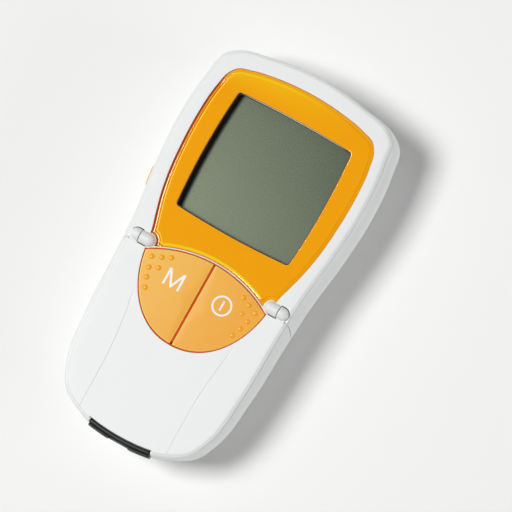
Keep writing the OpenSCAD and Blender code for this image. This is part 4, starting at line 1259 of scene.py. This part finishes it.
def makeMarks():
    x0, x1 = marks["letterX"]
    y0, y1 = marks["letterY"]
    w, middle = marks["stroke"], (x0 + x1) / 2
    right = [[middle + 0.35 * w, y0], [x1 - w, y1 - 1.9 * w], [x1 - w, y0], [x1, y0], [x1, y1],
             [x1 - 1.25 * w, y1], [middle, y0 + 1.7 * w]]
    left = [[2 * middle - x, y] for x, y in right[-2::-1]]
    letter = np.array(right + left)[::-1]
    raised([letter], within(letter), "memory_mark", "memory_button")
    x, y = marks["ringX"], marks["ringY"]
    ring = [circle((x, y), r, 72) for r in (marks["ringRadius"], marks["ringRadius"] - marks["ringStroke"])]
    half, long = marks["ringStroke"] / 2, marks["barLength"] / 2
    bar = rectangle(x - half, x + half, y - long, y + long)
    raised([*ring, bar], lambda p: within(*ring)(p) | inside(bar, p), "power_mark", "power_button")


makeKey(-1, "memory_button", "memory_button")
makeKey(1, "power_button", "power_button")
makeMarks()


seal = {"outside": 0.42, "inside": 0.04, "below": 0.45, "clear": 0.06, "matIn": 0.15, "fit": 0.3}


def makeKeySeal():
    # silicone mat under the caps, with a lip that stands in the gap round them
    turned = roundEdge(0.08, 0.02, 3)
    e = reach(turned)
    outer, inner = keysOutline(seal["outside"] - e), keysOutline(seal["inside"] + e)

    def sealTop(p):
        return topZ(p[:, 1]) - seal["below"]
    lip = plate([outer, inner], within(outer, inner), sealTop, deckZ - 0.05, turned)
    half = keys["split"] / 2 - seal["clear"]
    upper = archY + archRadius - 0.6
    tongue = rectangle(-half + e, half - e, keysLowY + 1, upper)
    spots = [(0, y) for y in np.arange(keysLowY + 2, upper, 3)]
    middle = plate([tongue], within(tongue), sealTop, matHigh[2] - 0.2, turned, spots=spots)
    edge = keysOutline(-front["islandIn"] - seal["matIn"])
    holes = plungerHoles(seal["fit"] + e)
    mat = plate([edge, *holes], within(edge, *holes), matHigh[2], matLow[2], turned)
    return piece("key_seal", [lip, middle, mat], sealRed, "housing", "key_mat")


makeKeySeal()


def makeSetButton():
    e = setKey["edge"] + 0.05
    loop = stadium(setKey["length"], setKey["height"], -e)
    cap = plate([loop], within(loop), setKey["proud"], -flangeDepth - 0.1, roundEdge(setKey["edge"], 0.05, 6))
    wider, higher = setKey["brim"]
    brim = stadium(setKey["length"] + wider, setKey["height"] + higher, -0.1)
    flange = plate([brim], within(brim), -flangeDepth, -flangeDepth - setKey["flange"], [[0.1, 0.1]])
    stem = slab(*setKey["stem"], -flangeDepth - setKey["stemLong"], -flangeDepth)
    shapes = [toSetFrame(s) for s in (cap, flange, stem)]
    return piece("set_cap", shapes, keyOrange, "set_button", "set_button")


makeSetButton()
print("buttons")


# strip guide: a bead along the flap's edge and two lips on either side of the slot
guide = {
    "top": guideHigh[2], "bead": 1.45, "beadDrop": 0.75, "valley": 0.75,
    "lipDrop": 0.35, "lipMiddle": 2.1, "lipHalf": 0.62, "lipFall": 0.5, "lipCurve": 2.2,
    "endRound": 0.9, "endDrop": 0.6, "corner": 1, "lean": 0.5, "sillOut": 0.45, "inner": 7.1, "bodyDrop": 0.9,
    "turn": 13,  # degrees of the arcs either way, past the guide's ends
}
lipCentreY = guideLow[1] + math.sqrt(flap["mouthRadius"] ** 2 - slot["width"] ** 2 / 4)
innerArcY = mouthY - casing["seamGap"] + flap["mouthRadius"]


def guideIn(points):
    # how far a point lies from the bead's inner edge
    return np.hypot(points[:, 0], points[:, 1] - innerArcY) - flap["mouthRadius"]


def guideTop(p):
    v = guideIn(p)
    r = guide["bead"] / 2
    bead = guide["beadDrop"] * (1 - np.sqrt(np.maximum(0, 1 - ((v - r) / r) ** 2)))
    away = clamped(np.abs(v - guide["lipMiddle"]) / guide["lipHalf"])
    lip = guide["lipDrop"] + guide["lipFall"] * away ** guide["lipCurve"]
    drop = np.where(v < guide["bead"], np.minimum(bead, guide["valley"]), np.minimum(lip, guide["valley"]))
    side = clamped((np.abs(p[:, 0]) - guideHigh[0] + guide["endRound"]) / guide["endRound"])
    return guide["top"] - drop - guide["endDrop"] * (1 - np.sqrt(1 - np.minimum(side, 0.999) ** 2))


def makeGuide():
    turned = [[0.05, 0], [0.2, 0.06], [0.3, 0.2]]
    e = reach(turned)
    half, slotHalf = guideHigh[0], slot["width"] / 2
    backY = toeY + 0.1
    nearY, farY = toeY - 13, toeY + 17  # the plates are cut from a box that reaches past the guide
    corner, turn = guide["corner"], guide["turn"]
    # distances from the bead's inner edge at which the surface has a row of points
    levels = np.array([0, 0.06, 0.16, 0.3, 0.5, 0.73, 0.96, 1.16, 1.3, 1.39, 1.45, 1.55, 1.75, 2.0, 2.25])
    arcs = [arc((0, innerArcY), flap["mouthRadius"] + e + v, 270 - turn, 270 + turn, 81) for v in levels]
    outerArc = arc((0, lipCentreY), flap["mouthRadius"] - e, 270 - turn, 270 + turn, 81)
    box = rectangle(-half + e, half - e, nearY, farY)

    def region(p, gap, out=0.0):
        x, y = np.abs(p[:, 0]), p[:, 1]
        keep = (x < half - e) & (guideIn(p) > e) & (np.hypot(x, y - lipCentreY) < flap["mouthRadius"] - e)
        away = np.hypot(x - half + corner, guideIn(p) - corner)
        keep &= ~((x > half - corner) & (guideIn(p) < corner) & (away > corner - e))
        lean = guide["lean"] * np.maximum(backY + gap - y, 0)
        return keep & ~((x < slotHalf + gap + lean) & (y < backY + gap - out))
    sides = [[[s * (slotHalf + e + 6 * guide["lean"]), backY + e - 6], [s * (slotHalf + e), backY + e]]
             for s in (-1, 1)]
    back, sillFront = [[[-slotHalf - e, backY + e - out], [slotHalf + e, backY + e - out]]
                       for out in (0, guide["sillOut"])]
    edges = [[[s * (half - e - d), nearY], [s * (half - e - d), farY]]
             for s in (-1, 1) for d in (0.15, 0.35, 0.6)]
    a = np.radians(np.linspace(0, 90, 13))
    x, v = half - corner + (corner - e) * np.cos(a), corner - (corner - e) * np.sin(a)
    y = innerArcY - np.sqrt((flap["mouthRadius"] + v) ** 2 - x ** 2)
    corners = [np.stack([s * x, y], -1) for s in (-1, 1)]
    lines = [*arcs, outerArc, *sides, back, *edges, *corners]
    slotTop = deckZ + slot["lift"] + slot["height"]
    crown = plate([box], lambda p: region(p, e), guideTop, slotTop, turned, lines=lines)
    plain = [[0.3, 0]]
    full = [[[s * (slotHalf + e), nearY], [s * (slotHalf + e), farY]] for s in (-1, 1)]
    jaws = plate([box], lambda p: region(p, e) & (np.abs(p[:, 0]) > slotHalf + e), slotTop + 0.1,
                 guideLow[2], plain, lines=[arcs[0], outerArc, *full, *sides, *corners])
    sill = plate([box], lambda p: region(p, e, guide["sillOut"]) & (np.abs(p[:, 0]) < slotHalf + e),
                 deckZ + slot["lift"], guideLow[2], plain, lines=[arcs[0], outerArc, sillFront, *full])
    y0, y1 = mouthY - 1, mouthY - 1 + guide["inner"]
    z0, z1 = deckZ + 0.05, guide["top"] - guide["bodyDrop"]
    body = [onBothSides(slab(slotHalf, half - corner, y0, y1, z0, z1)),
            slab(-slotHalf - 0.1, slotHalf + 0.1, y0, y1, slotTop, z1)]
    return piece("strip_mouth", [crown, jaws, sill, *body], guideBlack, "housing", "strip_guide", sharp=50)


makeGuide()
print("strip guide")


# rear housing: a tub drawn in towards the table, its floor open for the battery cover
rear = {
    "profile": [[0, 1], [0.05, 0.78], [0.14, 0.62], [0.35, 0.41], [0.62, 0.17], [0.86, 0.03], [1, 0]],
    "endShare": 0.8, "bayWall": 1.2, "bayHeight": 11.3, "lid": 0.8, "floorIn": 4.5,
    "screwHead": 2.5, "headSeat": 3.2, "shankRadius": 1.3, "bossGrow": 0.3, "footSeat": 0.9,
    "postRadius": 2.2, "postTop": 14.6,
}
footHigh = nodeBox("rubber_feet")[1]
footRadius = footHigh[0] - footPlaces[0][0]
rearCurve = smoothCurve(rear["profile"], [-0.01, 1.25], [1.1, 0])
plusLow, plusHigh = nodeBox("plus_contacts")
bayX, bayY0, bayY1 = coverHigh[0], plusLow[1], plusHigh[1]
floorZ = baseZ + casing["floor"]
bayTop = floorZ + rear["bayHeight"]


def rearShare(z):
    s = np.linspace(0, len(rear["profile"]) - 1, 200)
    curve = rearCurve(s)
    return np.interp((z - baseZ) / (beltZ - baseZ), curve[:, 0], curve[:, 1])


def rearLevel(s, z, more):
    depth = casing["rearInset"] * rearShare(z)
    side = 1 - (depth + more) * 2 / displayWidth
    end = 1 - (rear["endShare"] * depth + more) * 2 / bodyLength
    return np.stack([beltAt(s)[..., 0] * side, beltAt(s)[..., 1] * end, np.broadcast_to(z, s.shape)], -1)


def makeRearHousing():
    shares = [0, 0.012, 0.03, 0.06, 0.1, 0.15, 0.22, 0.3, 0.4, 0.5, 0.6, 0.7, 0.8, 0.88, 0.95, 0.99, 1]
    section = [(mixed(baseZ, beltZ, f), 0.15 if f == 1 else 0) for f in shares]
    inner = [(mixed(floorZ, beltZ, f), casing["rearWall"]) for f in (1, 0.8, 0.55, 0.3, 0.12, 0)]
    bottom = [(floorZ, rear["floorIn"]), (baseZ, rear["floorIn"])]
    rows = np.stack([rearLevel(wholeBelt, z, more) for z, more in section + inner + bottom], 1)
    tub = carved(loft(rows, ring=True), setHole(casing["rearWall"]))
    for x, y in screwPlaces:
        for s in (-1, 1):
            tub = carved(tub, lathe(barrel(baseZ - 3, rear["headSeat"], rear["screwHead"]), (s * x, y, 0)))
    turned, e = fineEdge, reach(fineEdge)
    outline = rearLevel(wholeBelt, baseZ, rear["floorIn"])[:, :2][::-1]
    holes = [rectangle(-bayX - e, bayX + e, bayY0 - e, bayY1 + e)]
    for spots, r in ((footPlaces, footRadius + 0.1), (screwPlaces, rear["screwHead"])):
        holes += [circle((s * x, y), r + e) for x, y in spots for s in (-1, 1)]
    floor = upsideDown(plate([outline, *holes], within(outline, *holes), -baseZ, -floorZ, turned))
    box, hole = (rectangle(-bayX - w, bayX + w, bayY0 - w, bayY1 + w) for w in (rear["bayWall"], 0))
    walls = plate([box, hole], within(box, hole), bayTop, floorZ - 0.05, [[0.01, 0.01]])
    lid = plate([box], within(box), bayTop + rear["lid"], bayTop, [[0.01, 0.01]])
    boss, seat = casing["bossRadius"] + rear["bossGrow"], footRadius + rear["footSeat"]
    pillars = [
        (screwPlaces, tube(rear["headSeat"], beltZ - casing["bossMeet"], rear["shankRadius"], boss)),
        (screwPlaces, tube(baseZ + 0.5, rear["headSeat"] + 0.3, rear["screwHead"], boss)),
        (footPlaces, [[footHigh[2], 0], [footHigh[2], seat], [floorZ + 0.05, seat], [floorZ + 0.05, 0]]),
        (postPlaces, tube(floorZ - 0.05, rear["postTop"], 1, rear["postRadius"])),
    ]
    shapes = [tub, floor, walls, lid]
    for places, profile in pillars:
        shapes += [onBothSides(lathe(profile, (x, y, 0))) for x, y in places]
    return piece("rear_shell", shapes, casingWhite, "housing", "rear_housing")


makeRearHousing()


# the battery cover, with two stubs at its hinge and finger ridges
cover = {"gap": 0.3, "stub": 0.9, "stubRadius": 0.5, "thinEnd": 1.5, "skin": 0.7, "edge": 0.2,
         "ridges": 3, "ridgeFrom": 4.1, "ridgePitch": 2, "ridgeHalf": 8, "ridgeRadius": 0.4}
coverHinge = next(joint for joint in frame["joints"] if joint["name"] == "cover_hinge")


def makeCover():
    x, y0, y1 = bayX - cover["gap"], coverLow[1], coverHigh[1]
    _, axisY, axisZ = np.array(coverHinge["pos_m"]) * perMetre
    turned = roundEdge(cover["edge"], 0.05, 4)
    e = reach(turned)
    loop = rectangle(-x + e, x - e, y0 + e, y1 - e)
    skin = upsideDown(plate([loop], within(loop), -baseZ, -(axisZ + cover["skin"]), turned))
    inner = slab(-x, x, y0, axisY - cover["thinEnd"], axisZ + 0.4, floorZ)
    pin = barrel(-bayX - cover["stub"], bayX + cover["stub"], cover["stubRadius"])
    shapes = [skin, inner, lathe(pin, (0, axisY, axisZ), "x")]
    ridge = barrel(-cover["ridgeHalf"], cover["ridgeHalf"], cover["ridgeRadius"], 0.35)
    for k in range(cover["ridges"]):
        shapes.append(lathe(ridge, (0, y0 + cover["ridgeFrom"] + cover["ridgePitch"] * k, baseZ + 0.1), "x"))
    return piece("cover_lid", shapes, casingWhite, "battery_cover", "battery_cover")


makeCover()


def makeFeet():
    h = footHigh[2]
    pad = [[0, 0], [0, footRadius - 0.5], [0.06, footRadius - 0.25], [0.2, footRadius - 0.07],
           [0.4, footRadius], [h, footRadius], [h, 0]]
    shapes = [onBothSides(lathe(pad, (x, y, 0))) for x, y in footPlaces]
    return piece("feet", shapes, footGrey, "housing", "rubber_feet")


makeFeet()


cell = {"capLong": 0.8, "edge": 0.5, "nubLong": 1.2, "nubRadius": 1.9, "sleeveStart": 0.5, "sleeveEnd": 1.35,
        "sleeveThick": 0.6, "sleeveEdge": 0.15}


def makeBatteries():
    for i in (1, 2, 3, 4):
        name = f"battery_{i}"
        low, high = nodeBox(name)
        x, z = (low[0] + high[0]) / 2, (low[2] + high[2]) / 2
        long, r = high[1] - low[1], (high[0] - low[0]) / 2
        can = barrel(0, long - cell["capLong"], r - 0.02, cell["edge"])
        nub = barrel(long - cell["nubLong"], long, cell["nubRadius"], 0.2)
        y0, y1 = cell["sleeveStart"], long - cell["sleeveEnd"]
        inner, edge = r - cell["sleeveThick"], cell["sleeveEdge"]
        wrap = [[y0, inner], [y0, r - edge], [y0 + edge, r], [y1 - edge, r], [y1, r - edge], [y1, inner]]
        placed = []
        for profile, own in ((wrap, sleeve), (can, steel), (nub, steel)):
            points, faces = lathe(profile, (0, 0, 0), "y")
            y = low[1] + points[:, 1] if i % 2 == 0 else high[1] - points[:, 1]  # every second cell is turned
            placed.append((np.column_stack([points[:, 0] + x, y, points[:, 2] + z]), faces, own))
        piece(f"cell_{i}", placed, sleeve, "housing", name)


makeBatteries()


def makePins():
    for side in ("left", "right"):
        low, high = nodeBox(f"hinge_pin_{side}")
        pin = lathe(barrel(low[0], high[0], (high[2] - low[2]) / 2, 0.12), (0, hingeY, hingeZ), "x")
        piece(f"pin_{side}", [pin], steel, "housing", f"hinge_pin_{side}")


makePins()
print("rear, cover, feet, batteries and pins")


# solids that stay as they are get a finish and a fine bevel
kept = {
    "display_lens": (lens, 0.12), "lcd_cell": (lcd, 0.08), "lcd_frame": (guideBlack, 0.08),
    "lcd_reflector": (innerWhite, 0.1), "contact_strips": (zebraGrey, 0.15), "main_board": (board, 0.08),
    "processor": (chipBlack, 0.12), "memory_chip": (chipBlack, 0.12), "clock_crystal": (steel, 0.2),
    "buzzer": (chipBlack, 0.15), "infrared_window": (filterRed, 0.15), "infrared_diode": (ledClear, 0.06),
    "memory_switch": (chipBlack, 0.12), "power_switch": (chipBlack, 0.12), "set_switch": (chipBlack, 0.12),
    "light_shield": (guideBlack, 0.15), "flap_magnet": (steel, 0.12), "flap_sensor": (chipBlack, 0.1),
    "chamber_window": (glass, 0.1), "optics_block": (guideBlack, 0.12), "measuring_leds": (ledClear, 0.15),
    "photodiode": (chipBlack, 0.1), "plus_contacts": (steel, 0.06), "minus_contacts": (steel, 0.06),
    "housing_screws": (steel, 0.1), "board_screws": (steel, 0.08),
}


def finishKept():
    for name, (finish, edge) in kept.items():
        o = nodes[name]
        o.data.materials.clear()
        o.data.materials.append(finish.material)
        soft = o.modifiers.new("fine edge", "BEVEL")
        soft.width, soft.segments, soft.limit_method = edge / perMetre, 2, "ANGLE"
        soft.angle_limit = math.radians(40)
        soft.use_clamp_overlap = True


finishKept()
print("kept solids finished")


# floor, light and camera
studio = {
    "floorShade": (248, 248, 247), "floorReach": 4.0, "worldLight": 0.22, "worldSeen": 1.0,
    # what shiny surfaces mirror, from the horizon to straight above, and the heights between which it changes
    "glossLow": 0.9, "glossHigh": 0.06, "glossFrom": 0.1, "glossTo": 0.85,
    # each lamp: watts, size, distance in metres, height in degrees, and the way it comes from, from +X
    "key": (124.0, 1.5, 4.0, 63, 198), "fill": (12.5, 1.0, 2.0, 10, 6),
}
# what the camera aims at, the way back to it and its roll in degrees
view = {
    "aim": (11.8, 7.8, 27.5), "back": (0.1958, -0.0519, 0.9793), "turn": 29.5, "away": 2500,
    "lens": 480, "sensor": 36,
}


def makeFloor():
    far = studio["floorReach"]
    mesh = bpy.data.meshes.new("floor")
    mesh.from_pydata([(*corner, 0) for corner in rectangle(-far, far, -far, far)], [], [(0, 1, 2, 3)])
    floor = bpy.data.objects.new("floor", mesh)
    bpy.context.scene.collection.objects.link(floor)
    paper = Finish("floor_paper", "floor", Base_Color=colour(*studio["floorShade"]), Roughness=0.9,
                   Specular_IOR_Level=0.2)
    mesh.materials.append(paper.material)


def makeLight():
    world = bpy.data.worlds.new("studio")
    bpy.context.scene.world = world
    sky = NodeTree(world, "Background")
    byCamera = sky.add("ShaderNodeLightPath", out="Is Camera Ray")
    byGloss = sky.add("ShaderNodeLightPath", out="Is Glossy Ray")
    way = sky.add("ShaderNodeTexCoord", out="Generated")
    height = sky.add("ShaderNodeSeparateXYZ", None, {0: way}, out=2)
    inGloss = sky.add("ShaderNodeMapRange", None, {
        0: height, 1: studio["glossFrom"], 2: studio["glossTo"],
        3: studio["glossLow"], 4: studio["glossHigh"]})
    seen = studio["worldLight"] + (studio["worldSeen"] - studio["worldLight"]) * byCamera
    sky.set("Strength", seen * (1 - byGloss) + inGloss * byGloss)
    sky.set("Color", (1, 1, 1, 1))
    for name in ("key", "fill"):
        power, size, away, height, turn = studio[name]
        data = bpy.data.lights.new(name, "AREA")
        data.size, data.energy = size, power
        lamp = bpy.data.objects.new(name, data)
        bpy.context.scene.collection.objects.link(lamp)
        up, turn = math.radians(height), math.radians(turn)
        way = Vector((math.cos(up) * math.cos(turn), math.cos(up) * math.sin(turn), math.sin(up)))
        lamp.location = way * away
        lamp.rotation_mode = "QUATERNION"
        lamp.rotation_quaternion = way.to_track_quat("Z", "Y")
        lamp.visible_camera = False
        lamp.visible_glossy = name == "key"  # the fill would glare on the bezel from the low sides


def makeCamera():
    data = bpy.data.cameras.new("camera")
    data.lens, data.sensor_width = view["lens"], view["sensor"]
    data.clip_start, data.clip_end = 0.05, 20
    camera = bpy.data.objects.new("camera", data)
    bpy.context.scene.collection.objects.link(camera)
    back = Vector(view["back"]).normalized()
    north = (Vector((0, 1, 0)) - back * back.y).normalized()
    up = Quaternion(back, math.radians(view["turn"])) @ north
    right = up.cross(back)
    camera.rotation_mode = "QUATERNION"
    camera.rotation_quaternion = Matrix((right, up, back)).transposed().to_quaternion()
    camera.location = (Vector(view["aim"]) + back * view["away"]) / perMetre
    bpy.context.scene.camera = camera


makeFloor()
makeLight()
makeCamera()
bpy.context.scene.view_settings.view_transform = "Standard"
print("studio ready")
